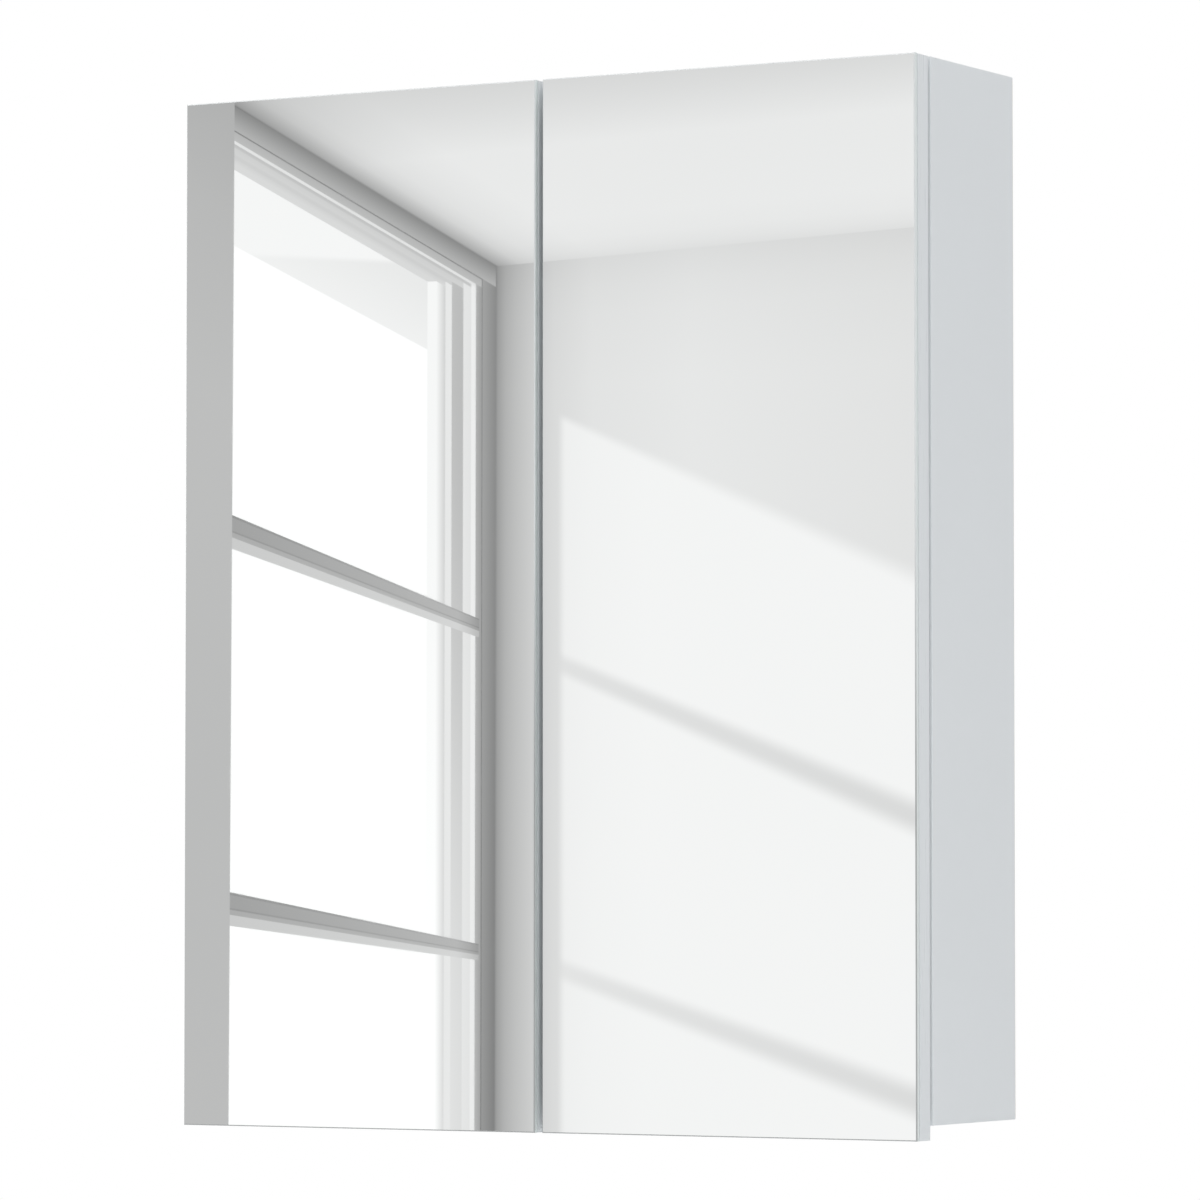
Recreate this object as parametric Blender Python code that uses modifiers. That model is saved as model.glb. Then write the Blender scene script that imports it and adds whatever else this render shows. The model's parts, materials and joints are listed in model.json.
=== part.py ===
"""Hanging wall cabinet with two mirror doors, for Blender 4.5. Metres, +Z up.

The wall is the plane y = 0 and the doors face -Y. The origin is the middle of the top panel's rear edge.
Every hinge detail is laid out in (inward, forward): inward from the side panel's outer face towards the
cabinet's middle, and forward from the carcass's front edge. side is 1 on the right and -1 on the left.
"""

import math

import bmesh
import bpy
from mathutils import Matrix, Vector

MM = 0.001

# Driving dimensions
WIDTH = 600 * MM
CARCASS_HEIGHT = 740 * MM
CARCASS_DEPTH = 131 * MM
BOARD = 16 * MM
DOOR_OVERHANG = 10 * MM
DOOR_GAP = 3 * MM
DOOR_SIDE_INSET = 0.5 * MM
DOOR_MIDDLE_GAP = 6 * MM
MIRROR_THICKNESS = 4 * MM
ADHESIVE_SPACE = 1 * MM
BACK_THICKNESS = 3 * MM
BACK_RECESS = 12 * MM
GAP = 0.3 * MM

# Modelling: how far a cutter sticks out of what it cuts, and how near points lie that are merged
OVERSHOOT = 5 * MM
MERGE_DISTANCE = 0.01 * MM

# Levels that follow from them
TOP = BOARD / 2
BOTTOM = TOP - CARCASS_HEIGHT
LOWER_MIDDLE = BOTTOM + BOARD / 2
DOOR_BOTTOM = BOTTOM - DOOR_OVERHANG
INNER_HALF = WIDTH / 2 - BOARD
FRONT = -CARCASS_DEPTH
DOOR_BACK = FRONT - DOOR_GAP
DOOR_FRONT = DOOR_BACK - BOARD
MIRROR_BACK = DOOR_FRONT - ADHESIVE_SPACE
MIRROR_FRONT = MIRROR_BACK - MIRROR_THICKNESS
BACK_FRONT = -BACK_RECESS - BACK_THICKNESS

# Grooves that hold the back panel
GROOVE_DEPTH = 6.3 * MM
GROOVE_PLAY = 0.4 * MM

# Cam connectors
CAM_RADIUS = 7.5 * MM
CAM_HEIGHT = 12 * MM
CAM_FROM_END = 34 * MM
CAM_Y = -66 * MM
CAM_SLOT_HALF_LENGTH = 4.5 * MM
CAM_SLOT_HALF_WIDTH = 0.8 * MM
CAM_SLOT_DEPTH = 1.5 * MM
CAM_MOUTH = (-2 * MM, 12 * MM)
BOLT_BORE_RADIUS = 4 * MM
BOLT_SEAT_RADIUS = 2.8 * MM
BOLT_SEAT_DEPTH = 11.5 * MM
BOLT_THREAD_RADIUS = 2.5 * MM
BOLT_RADIUS = 3.4 * MM
BOLT_NECK_RADIUS = 2 * MM
BOLT_HEAD_RADIUS = 2.6 * MM
BOLT_NECK = (4 * MM, 8 * MM)
BOLT_CHAMFER = 1 * MM

# Glass shelves and their pins
SHELF_THICKNESS = 5 * MM
SHELF_BACK = -17.5 * MM
SHELF_FRONT = -116 * MM
SHELF_SIDE_PLAY = 1.8 * MM
SHELF_HEIGHTS = {"lower": 238 * MM, "upper": 478 * MM}
PIN_COLUMNS = {"rear": -37 * MM, "front": -94 * MM}
PIN_HOLE_RADIUS = 2.5 * MM
PIN_HOLE_DEPTH = 9 * MM
PIN_PITCH = 32 * MM
PIN_HOLES_EACH_WAY = 2
PIN_HEAD_RADIUS = 3 * MM
PIN_HEAD_LENGTH = 8 * MM
PIN_HEAD_CHAMFER = 0.8 * MM
PIN_COLLAR = 0.9 * MM
PIN_COLLAR_RADIUS = 4 * MM
SHELF_BEVEL = 0.6 * MM

# Mirrors and bumpers on the doors
ADHESIVE_BORDER = 8 * MM
MIRROR_BEVEL = 0.7 * MM
BUMPER_FROM_EDGE = 12 * MM
BUMPER_RADIUS = 4.5 * MM
BUMPER_BEVEL = 0.6 * MM

# Cup hinges: the cup in the door
HINGE_FROM_END = 100 * MM
HINGE_LEVELS = {"upper": TOP - HINGE_FROM_END, "lower": BOTTOM + HINGE_FROM_END}
PIVOT = (7.2 * MM, 10.3 * MM)
CUP_CENTRE = 20.7 * MM
CUP_RADIUS = 17.5 * MM
CUP_WALL = 0.8 * MM
CUP_BOTTOM = DOOR_GAP + 12 * MM
CUP_FACE = 1.9 * MM
FLANGE = 0.8 * MM
FLANGE_RADIUS = 18.7 * MM
WING_LINE = CUP_CENTRE + 8 * MM
WING_HALF_WIDTH = 5.5 * MM
WING_REACH = 29 * MM
WING_SCREW_REACH = 24 * MM
WING_SCREW_RADIUS = 2.1 * MM
LUG_INWARD = (4.7 * MM, 9.6 * MM)
LUG_FORWARD = (7.6 * MM, CUP_BOTTOM - CUP_WALL / 2)
LUG_HEIGHTS = (3.5 * MM, 7.2 * MM)

# Cup hinges: the pin and its bores, the spring, the arm and the mounting plate
HINGE_PIN_RADIUS = 1.2 * MM
HINGE_PIN_HALF_LENGTH = 7 * MM
HINGE_BORE_RADIUS = 1.5 * MM
EYE_RADIUS = 2.4 * MM
SPRING_INWARD = (6.8 * MM, 34.6 * MM)
SPRING_FORWARD = (13.1 * MM, 13.7 * MM)
SPRING_HALF_WIDTH = 2.4 * MM
ARM_HALF_WIDTH = 3 * MM
ARM_THICKNESS = 2.4 * MM
ARM_LEG_INWARD = 27.6 * MM
ARM_LEG_END = -7 * MM
ARM_BEND = 5.2 * MM
CHANNEL_INWARD = (18.9 * MM, 29.2 * MM)
CHANNEL_FORWARD = (-60 * MM, -3 * MM)
CHANNEL_HALF_WIDTH = 8 * MM
CHANNEL_WALL = 1.6 * MM
CHANNEL_END_WALL = 6 * MM
PLATE_LINE = -37 * MM
PLATE_INWARD = (BOARD + GAP, BOARD + 2.4 * MM)
PLATE_FORWARD = (-62 * MM, -12 * MM)
PLATE_HALF_WIDTH = 7.5 * MM
PLATE_WING_HALF_WIDTH = 6 * MM
PLATE_WING_REACH = 24 * MM
PLATE_SCREW_SPACING = 32 * MM
PLATE_SCREW_RADIUS = 2.6 * MM
RIB_INWARD = (BOARD + 1 * MM, 26.8 * MM)
RIB_FORWARD = (-57 * MM, -14 * MM)
RIB_HALF_WIDTH = 5.8 * MM

# Hangers at the cabinet's top corners: heights are below the origin, and y runs forward from the wall
HANGER_INWARD = (16.3 * MM, 36 * MM)
HANGER_TOP = -8.6 * MM
HANGER_HEIGHT = 60 * MM
HANGER_DEPTH = 42 * MM
HANGER_WALL = 1.6 * MM
HOOK_INWARD = (24.5 * MM, 27.5 * MM)
HOOK_SHANK = (-23 * MM, -16 * MM)
HOOK_LIP = (-3.8 * MM, -1 * MM)
HOOK_LIP_END = -36 * MM
HOOK_BODY = (-50 * MM, -20 * MM)
HOOK_BODY_END = -50 * MM
WINDOW_INWARD = (21 * MM, 31 * MM)
WINDOW_HEIGHTS = (-29 * MM, -11 * MM)
WALL_PLATE_INWARD = (17.5 * MM, 63.5 * MM)
WALL_PLATE_METAL = 2 * MM
WALL_PLATE_HEIGHTS = (-82 * MM, -41 * MM, HOOK_SHANK[0] - GAP)
WALL_PLATE_UPSTAND = -4.6 * MM
WALL_SCREW_OFFSET = 13 * MM
WALL_SCREW_LEVEL = -62 * MM
WALL_SCREW_RADIUS = 2.75 * MM

SIDES = {"left": -1, "right": 1}


# ---------------------------------------------------------------- modelling helpers


def clear_scene():
    for obj in list(bpy.data.objects):
        bpy.data.objects.remove(obj)


def collection(name):
    made = bpy.data.collections.new(name)
    bpy.context.scene.collection.children.link(made)
    return made


def material(name, colour, roughness, metallic=0.0):
    made = bpy.data.materials.new(name)
    made.use_nodes = True
    shader = made.node_tree.nodes["Principled BSDF"]
    shader.inputs["Base Color"].default_value = (*colour, 1)
    shader.inputs["Roughness"].default_value = roughness
    shader.inputs["Metallic"].default_value = metallic
    return made


def place(obj, name, finish, group):
    """Names the object, gives it its material and moves it to a collection."""
    obj.name = name
    obj.data.name = name
    obj.data.materials.clear()
    if finish:
        obj.data.materials.append(finish)
    for old in list(obj.users_collection):
        old.objects.unlink(obj)
    group.objects.link(obj)
    return obj


def box(name, low, high, finish=None, group=None, bevel=0.0):
    """A box between two opposite corners, given in any order."""
    low, high = Vector(map(min, low, high)), Vector(map(max, low, high))
    bpy.ops.mesh.primitive_cube_add(size=1, location=(low + high) / 2)
    obj = bpy.context.object
    obj.data.transform(Matrix.Diagonal((*(high - low), 1)))
    if bevel:
        rounding = obj.modifiers.new("edges", "BEVEL")
        rounding.width = bevel
        rounding.segments = 1
    return place(obj, name, finish, group or CUTTERS)


def rod(name, start, end, radius, finish=None, group=None, vertices=24):
    """A cylinder whose axis runs from start to end."""
    start, end = Vector(start), Vector(end)
    bpy.ops.mesh.primitive_cylinder_add(
        radius=radius, depth=(end - start).length, vertices=vertices, location=(start + end) / 2
    )
    obj = bpy.context.object
    obj.rotation_mode = "QUATERNION"
    obj.rotation_quaternion = (end - start).to_track_quat("Z", "Y")
    obj.data.shade_smooth()
    obj.data.set_sharp_from_angle(angle=math.radians(40))
    return place(obj, name, finish, group or CUTTERS)


def turned(name, profile, start, towards, finish, steps=16):
    """A turned piece: profile is (radius, distance along the axis), from the far end back to the start."""
    mesh = bpy.data.meshes.new(name)
    points = [(radius, 0, along) for radius, along in profile]
    mesh.from_pydata(points, [(i, i + 1) for i in range(len(points) - 1)], [])
    obj = bpy.data.objects.new(name, mesh)
    obj.location = start
    obj.rotation_mode = "QUATERNION"
    obj.rotation_quaternion = Vector(towards).to_track_quat("Z", "Y")
    PARTS.objects.link(obj)
    mesh.materials.append(finish)
    spin = obj.modifiers.new("turn", "SCREW")
    spin.axis = "Z"
    spin.steps = spin.render_steps = steps
    spin.use_merge_vertices = True
    spin.merge_threshold = MERGE_DISTANCE
    return obj


def extruded(name, outline, start, end, along, finish=None, group=None):
    """A flat outline, extruded from start to end. It holds (x, y) along "Z" and (y, z) along "X"."""
    curve = bpy.data.curves.new(name, "CURVE")
    curve.dimensions = "2D"
    curve.fill_mode = "BOTH"
    curve.extrude = abs(end - start) / 2
    spline = curve.splines.new("POLY")
    spline.points.add(len(outline) - 1)
    for point, (across, up) in zip(spline.points, outline):
        point.co = (across, up, 0, 1)
    spline.use_cyclic_u = True
    sketch = bpy.data.objects.new(name, curve)
    middle = (start + end) / 2
    if along == "X":
        sketch.location = (middle, 0, 0)
        sketch.rotation_euler = (math.radians(90), 0, math.radians(90))
    else:
        sketch.location = (0, 0, middle)
    bpy.context.scene.collection.objects.link(sketch)
    evaluated = sketch.evaluated_get(bpy.context.evaluated_depsgraph_get())
    mesh = bpy.data.meshes.new_from_object(evaluated)
    form = bmesh.new()
    form.from_mesh(mesh)
    bmesh.ops.remove_doubles(form, verts=form.verts, dist=MERGE_DISTANCE)
    form.to_mesh(mesh)
    form.free()
    obj = bpy.data.objects.new(name, mesh)
    obj.location = sketch.location
    obj.rotation_euler = sketch.rotation_euler
    bpy.context.scene.collection.objects.link(obj)
    bpy.data.objects.remove(sketch)
    return place(obj, name, finish, group or CUTTERS)


def moving(name, axis_point, build, *arguments):
    """Parents all that build makes, cutters too, to an empty on the axis that it moves about or along."""
    before = {obj.name for obj in bpy.data.objects}
    build(*arguments)
    made = [obj for obj in bpy.data.objects if obj.name not in before]
    axis = bpy.data.objects.new(name, None)
    axis.location = axis_point
    axis.empty_display_size = 0.05
    PARTS.objects.link(axis)
    for obj in made:
        obj.parent = axis
        obj.matrix_parent_inverse = Matrix.Translation(axis_point).inverted()


def combine(obj, other, operation):
    """Cuts other from obj, or joins it on, and leaves other out of the render."""
    step = obj.modifiers.new(other.name, "BOOLEAN")
    step.operation = operation
    step.object = other
    other.hide_render = True
    other.display_type = "WIRE"


def cut(obj, *cutters):
    for cutter in cutters:
        combine(obj, cutter, "DIFFERENCE")


def join(obj, *others):
    for other in others:
        combine(obj, other, "UNION")


def arc(centre, radius, first, last, steps):
    """Points on an arc of a plane, angles in degrees."""
    points = []
    for i in range(steps + 1):
        angle = math.radians(first + (last - first) * i / steps)
        points.append((centre[0] + radius * math.cos(angle), centre[1] + radius * math.sin(angle)))
    return points


def hinge_point(side, inward, forward, z):
    """A hinge's (inward, forward) point in the cabinet's own frame."""
    return (side * (WIDTH / 2 - inward), FRONT - forward, z)


def hinge_box(name, side, inward, forward, heights, finish=None, group=None, bevel=0.0):
    low = hinge_point(side, inward[0], forward[0], heights[0])
    high = hinge_point(side, inward[1], forward[1], heights[1])
    return box(name, low, high, finish, group, bevel)


# ---------------------------------------------------------------- carcass


def side_panel(name, side):
    outer, inner = side * WIDTH / 2, side * INNER_HALF
    panel = box(name, (outer, FRONT, BOTTOM), (inner, 0, TOP), WHITE_BOARD, PARTS)
    groove = box(
        f"{name}_groove",
        (inner - side * OVERSHOOT, BACK_FRONT - GAP, BOTTOM - OVERSHOOT),
        (inner + side * GROOVE_DEPTH, -BACK_RECESS + GAP, TOP + OVERSHOOT),
    )
    cut(panel, groove)
    for level in (0, LOWER_MIDDLE):
        start = (inner - side * OVERSHOOT, CAM_Y, level)
        end = (inner + side * BOLT_SEAT_DEPTH, CAM_Y, level)
        cut(panel, rod(f"{name}_bolt_seat", start, end, BOLT_SEAT_RADIUS, vertices=12))
    for height in SHELF_HEIGHTS.values():
        for column in PIN_COLUMNS.values():
            for k in range(-PIN_HOLES_EACH_WAY, PIN_HOLES_EACH_WAY + 1):
                z = pin_level(height) + k * PIN_PITCH
                start = (inner - side * OVERSHOOT, column, z)
                end = (inner + side * PIN_HOLE_DEPTH, column, z)
                cut(panel, rod(f"{name}_pin_hole", start, end, PIN_HOLE_RADIUS, vertices=12))


def cross_panel(name, middle, outward):
    """The top panel or the bottom one. outward is 1 on the top one, and its cams show on that face."""
    half = INNER_HALF - GAP
    panel = box(
        name, (-half, FRONT, middle - BOARD / 2), (half, 0, middle + BOARD / 2), WHITE_BOARD, PARTS
    )
    inner_face = middle - outward * BOARD / 2
    cut(
        panel,
        box(
            f"{name}_groove",
            (-WIDTH, BACK_FRONT - GAP, inner_face - outward * OVERSHOOT),
            (WIDTH, -BACK_RECESS + GAP, inner_face + outward * GROOVE_DEPTH),
        ),
    )
    outer_face = middle + outward * BOARD / 2
    for label, side in SIDES.items():
        x = side * (INNER_HALF - CAM_FROM_END)
        pocket_end = outer_face - outward * (CAM_HEIGHT + 2 * GAP)
        cut(
            panel,
            rod(
                f"{name}_{label}_cam_pocket",
                (x, CAM_Y, outer_face + outward * OVERSHOOT),
                (x, CAM_Y, pocket_end),
                CAM_RADIUS + GAP,
            ),
            rod(
                f"{name}_{label}_bolt_bore",
                (x, CAM_Y, middle),
                (side * (INNER_HALF + OVERSHOOT), CAM_Y, middle),
                BOLT_BORE_RADIUS,
                vertices=16,
            ),
        )
        cam_lock(f"{name[:-6]}_{label}_cam_lock", x, outer_face, outward, side, middle)
        cam_bolt(f"{name[:-6]}_{label}_cam_bolt", x, side, middle)


def cam_lock(name, x, outer_face, outward, side, middle):
    """The round metal lock that pulls a bolt's head in as it turns."""
    near = outer_face - outward * GAP
    lock = rod(
        name, (x, CAM_Y, near - outward * CAM_HEIGHT), (x, CAM_Y, near), CAM_RADIUS, ZINC, PARTS
    )
    mouth = rod(
        f"{name}_mouth",
        (x + side * CAM_MOUTH[0], CAM_Y, middle),
        (x + side * CAM_MOUTH[1], CAM_Y, middle),
        BOLT_BORE_RADIUS,
        vertices=16,
    )
    cut(lock, mouth)
    slot_levels = (near + outward * OVERSHOOT, near - outward * CAM_SLOT_DEPTH)
    for label, half_x, half_y in (
        ("across", CAM_SLOT_HALF_LENGTH, CAM_SLOT_HALF_WIDTH),
        ("along", CAM_SLOT_HALF_WIDTH, CAM_SLOT_HALF_LENGTH),
    ):
        slot = box(
            f"{name}_slot_{label}",
            (x - half_x, CAM_Y - half_y, slot_levels[0]),
            (x + half_x, CAM_Y + half_y, slot_levels[1]),
        )
        cut(lock, slot)


def cam_bolt(name, x, side, middle):
    """The bolt that screws into a side panel and whose head sits in a cam lock."""
    reach = INNER_HALF + BOLT_SEAT_DEPTH - GAP - abs(x)
    thread = BOLT_SEAT_DEPTH - GAP
    neck_start, neck_end = BOLT_NECK
    profile = [
        (0, reach),
        (BOLT_THREAD_RADIUS, reach),
        (BOLT_THREAD_RADIUS, reach - thread),
        (BOLT_RADIUS, reach - thread - GAP),
        (BOLT_RADIUS, neck_end + BOLT_CHAMFER),
        (BOLT_NECK_RADIUS, neck_end),
        (BOLT_NECK_RADIUS, neck_start),
        (BOLT_RADIUS, neck_start - BOLT_CHAMFER),
        (BOLT_HEAD_RADIUS, 0),
        (0, 0),
    ]
    turned(name, profile, (x, CAM_Y, middle), (side, 0, 0), ZINC)


def back_panel():
    half = INNER_HALF + GROOVE_DEPTH - GROOVE_PLAY
    low = LOWER_MIDDLE + BOARD / 2 - GROOVE_DEPTH + GROOVE_PLAY
    high = -BOARD / 2 + GROOVE_DEPTH - GROOVE_PLAY
    panel = box(
        "back_panel", (-half, BACK_FRONT, low), (half, -BACK_RECESS, high), WHITE_BACK, PARTS
    )
    for label, side in SIDES.items():
        window = box(
            f"{label}_hook_window",
            (side * (WIDTH / 2 - WINDOW_INWARD[0]), BACK_FRONT - OVERSHOOT, WINDOW_HEIGHTS[0]),
            (side * (WIDTH / 2 - WINDOW_INWARD[1]), -BACK_RECESS + OVERSHOOT, WINDOW_HEIGHTS[1]),
        )
        cut(panel, window)


# ---------------------------------------------------------------- shelves


def shelf_bottom(height):
    return LOWER_MIDDLE + BOARD / 2 + height


def pin_level(height):
    return shelf_bottom(height) - GAP - PIN_HEAD_RADIUS


def shelf(label, height):
    half = INNER_HALF - SHELF_SIDE_PLAY
    low = shelf_bottom(height)
    box(
        f"{label}_glass_shelf",
        (-half, SHELF_FRONT, low),
        (half, SHELF_BACK, low + SHELF_THICKNESS),
        GLASS,
        PARTS,
        bevel=SHELF_BEVEL,
    )
    shank = PIN_HOLE_RADIUS - GAP
    collar_end = PIN_HOLE_DEPTH + PIN_COLLAR
    head_end = PIN_HOLE_DEPTH + PIN_HEAD_LENGTH
    profile = [
        (0, 0),
        (shank, 0),
        (shank, PIN_HOLE_DEPTH - GAP),
        (PIN_COLLAR_RADIUS, PIN_HOLE_DEPTH),
        (PIN_COLLAR_RADIUS, collar_end),
        (PIN_HEAD_RADIUS, collar_end),
        (PIN_HEAD_RADIUS, head_end - PIN_HEAD_CHAMFER),
        (PIN_HEAD_RADIUS - PIN_HEAD_CHAMFER, head_end),
        (0, head_end),
    ]
    for side_label, side in SIDES.items():
        for column_label, column in PIN_COLUMNS.items():
            start = (side * (INNER_HALF + PIN_HOLE_DEPTH - GAP), column, pin_level(height))
            name = f"{label}_shelf_pin_{side_label}_{column_label}"
            turned(name, profile[::-1], start, (-side, 0, 0), ZINC, steps=12)


# ---------------------------------------------------------------- doors


def door(label, side):
    outer = side * (WIDTH / 2 - DOOR_SIDE_INSET)
    inner = side * DOOR_MIDDLE_GAP / 2
    board = box(
        f"{label}_door_board",
        (outer, DOOR_FRONT, DOOR_BOTTOM),
        (inner, DOOR_BACK, TOP),
        WHITE_BOARD,
        PARTS,
    )
    for level_label, z in HINGE_LEVELS.items():
        start = hinge_point(side, CUP_CENTRE, 0, z)
        end = hinge_point(side, CUP_CENTRE, CUP_BOTTOM + GAP, z)
        bore = rod(f"{label}_{level_label}_cup_bore", start, end, CUP_RADIUS + GAP, vertices=32)
        cut(board, bore)
        hinge_cup(f"{label}_{level_label}_hinge_cup", side, z)
        hinge_pin(f"{label}_{level_label}_hinge_pin", side, z)
        hinge_spring(f"{label}_{level_label}_hinge_spring", side, z)
    box(
        f"{label}_mirror_adhesive",
        (outer - side * ADHESIVE_BORDER, MIRROR_BACK + GAP, DOOR_BOTTOM + ADHESIVE_BORDER),
        (inner + side * ADHESIVE_BORDER, DOOR_FRONT - GAP, TOP - ADHESIVE_BORDER),
        ADHESIVE,
        PARTS,
    )
    box(
        f"{label}_mirror",
        (outer, MIRROR_FRONT, DOOR_BOTTOM),
        (inner, MIRROR_BACK, TOP),
        MIRROR,
        PARTS,
        bevel=MIRROR_BEVEL,
    )
    for level_label, z in {"upper": 0, "lower": LOWER_MIDDLE}.items():
        x = inner + side * BUMPER_FROM_EDGE
        start = (x, DOOR_BACK + GAP, z)
        end = (x, FRONT - GAP, z)
        bumper = rod(f"{label}_{level_label}_bumper", start, end, BUMPER_RADIUS, CLEAR_RUBBER, PARTS)
        rounding = bumper.modifiers.new("edges", "BEVEL")
        rounding.width = BUMPER_BEVEL
        rounding.segments = 1
        rounding.limit_method = "ANGLE"


# ---------------------------------------------------------------- hinges


def hinge_bore(name, side, z, reach):
    """The cutter for the pivot pin's bore."""
    low, high = hinge_point(side, *PIVOT, z - reach), hinge_point(side, *PIVOT, z + reach)
    return rod(name, low, high, HINGE_BORE_RADIUS, vertices=16)


def hinge_cup(name, side, z):
    """The steel cup that is pressed into the door, with two wings and two lugs that carry the pivot pin."""
    mouth = hinge_point(side, CUP_CENTRE, CUP_FACE, z)
    bottom = hinge_point(side, CUP_CENTRE, CUP_BOTTOM, z)
    cup = rod(name, mouth, bottom, CUP_RADIUS, STEEL, PARTS, vertices=32)
    rim = rod(
        f"{name}_rim",
        mouth,
        hinge_point(side, CUP_CENTRE, CUP_FACE + FLANGE, z),
        FLANGE_RADIUS,
        vertices=32,
    )
    wings = hinge_box(
        f"{name}_wings",
        side,
        (WING_LINE - WING_HALF_WIDTH, WING_LINE + WING_HALF_WIDTH),
        (CUP_FACE, CUP_FACE + FLANGE),
        (z - WING_REACH, z + WING_REACH),
    )
    join(cup, rim, wings)
    well = rod(
        f"{name}_well",
        hinge_point(side, CUP_CENTRE, CUP_FACE - OVERSHOOT, z),
        hinge_point(side, CUP_CENTRE, CUP_BOTTOM - CUP_WALL, z),
        CUP_RADIUS - CUP_WALL,
        vertices=32,
    )
    cut(cup, well)
    for direction in (-1, 1):
        screw_z = z + direction * WING_SCREW_REACH
        hole = rod(
            f"{name}_screw_hole",
            hinge_point(side, WING_LINE, CUP_FACE - FLANGE, screw_z),
            hinge_point(side, WING_LINE, CUP_FACE + 2 * FLANGE, screw_z),
            WING_SCREW_RADIUS,
            vertices=12,
        )
        cut(cup, hole)
        lug_heights = [z + direction * height for height in LUG_HEIGHTS]
        join(cup, hinge_box(f"{name}_lug", side, LUG_INWARD, LUG_FORWARD, lug_heights))
    cut(cup, hinge_bore(f"{name}_pin_bore", side, z, LUG_HEIGHTS[1] + GAP))


def hinge_arm(name, side, z):
    """The bent arm: an eye on the pivot pin, a gooseneck into the cup and a channel over the plate."""
    half = ARM_THICKNESS / 2
    bend_centre = (ARM_LEG_INWARD - ARM_BEND, PIVOT[1] - ARM_BEND)
    outer_line = arc(bend_centre, ARM_BEND + half, 90, 0, 4)
    inner_line = arc(bend_centre, ARM_BEND - half, 0, 90, 4)
    outline = [
        (PIVOT[0], PIVOT[1] + half),
        *outer_line,
        (ARM_LEG_INWARD + half, ARM_LEG_END),
        (ARM_LEG_INWARD - half, ARM_LEG_END),
        *inner_line,
        (PIVOT[0], PIVOT[1] - half),
    ]
    points = [hinge_point(side, inward, forward, z)[:2] for inward, forward in outline]
    gooseneck = extruded(f"{name}_gooseneck", points, z - ARM_HALF_WIDTH, z + ARM_HALF_WIDTH, "Z")
    eye = rod(
        f"{name}_eye",
        hinge_point(side, *PIVOT, z - ARM_HALF_WIDTH),
        hinge_point(side, *PIVOT, z + ARM_HALF_WIDTH),
        EYE_RADIUS,
        vertices=16,
    )
    arm = hinge_box(
        name,
        side,
        CHANNEL_INWARD,
        CHANNEL_FORWARD,
        (z - CHANNEL_HALF_WIDTH, z + CHANNEL_HALF_WIDTH),
        STEEL,
        PARTS,
    )
    inside = CHANNEL_HALF_WIDTH - CHANNEL_WALL
    hollow = hinge_box(
        f"{name}_hollow",
        side,
        (CHANNEL_INWARD[0] - OVERSHOOT, CHANNEL_INWARD[1] - CHANNEL_WALL),
        (CHANNEL_FORWARD[0] - OVERSHOOT, CHANNEL_FORWARD[1] - CHANNEL_END_WALL),
        (z - inside, z + inside),
    )
    join(arm, gooseneck, eye)
    cut(arm, hollow, hinge_bore(f"{name}_pin_bore", side, z, CHANNEL_HALF_WIDTH))


def hinge_plate(name, side, z):
    """The mounting plate that is screwed to the side panel, with a rib that the arm's channel covers."""
    body = hinge_box(
        name,
        side,
        PLATE_INWARD,
        PLATE_FORWARD,
        (z - PLATE_HALF_WIDTH, z + PLATE_HALF_WIDTH),
        STEEL,
        PARTS,
    )
    rib = hinge_box(
        f"{name}_rib", side, RIB_INWARD, RIB_FORWARD, (z - RIB_HALF_WIDTH, z + RIB_HALF_WIDTH)
    )
    wings = hinge_box(
        f"{name}_wings",
        side,
        PLATE_INWARD,
        (PLATE_LINE - PLATE_WING_HALF_WIDTH, PLATE_LINE + PLATE_WING_HALF_WIDTH),
        (z - PLATE_WING_REACH, z + PLATE_WING_REACH),
    )
    join(body, rib, wings)
    for direction in (-1, 1):
        screw_z = z + direction * PLATE_SCREW_SPACING / 2
        hole = rod(
            f"{name}_screw_hole",
            hinge_point(side, PLATE_INWARD[0] - OVERSHOOT, PLATE_LINE, screw_z),
            hinge_point(side, PLATE_INWARD[1] + OVERSHOOT, PLATE_LINE, screw_z),
            PLATE_SCREW_RADIUS,
            vertices=12,
        )
        cut(body, hole)


def hinge_pin(name, side, z):
    low = hinge_point(side, *PIVOT, z - HINGE_PIN_HALF_LENGTH)
    high = hinge_point(side, *PIVOT, z + HINGE_PIN_HALF_LENGTH)
    rod(name, low, high, HINGE_PIN_RADIUS, STEEL, PARTS, vertices=16)


def hinge_spring(name, side, z):
    """The leaf spring on the floor of the cup, under the arm's eye."""
    heights = (z - SPRING_HALF_WIDTH, z + SPRING_HALF_WIDTH)
    hinge_box(name, side, SPRING_INWARD, SPRING_FORWARD, heights, SPRING_STEEL, PARTS)


# ---------------------------------------------------------------- hangers


def hanger_housing(label, side):
    """The plastic housing in the cabinet's top corner, open to the rear, that the hook moves in."""
    rear = BACK_FRONT - 2 * GAP
    front = rear - HANGER_DEPTH
    low = HANGER_TOP - HANGER_HEIGHT
    near, far = (side * (WIDTH / 2 - inward) for inward in HANGER_INWARD)
    wall = HANGER_WALL
    housing = box(
        f"{label}_hanger_housing", (near, front, low), (far, rear, HANGER_TOP), WHITE_PLASTIC, PARTS
    )
    cavity = box(
        f"{label}_hanger_cavity",
        (near - side * wall, front + wall, low + wall),
        (far + side * wall, rear + OVERSHOOT, HANGER_TOP - wall),
    )
    cut(housing, cavity)


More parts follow.
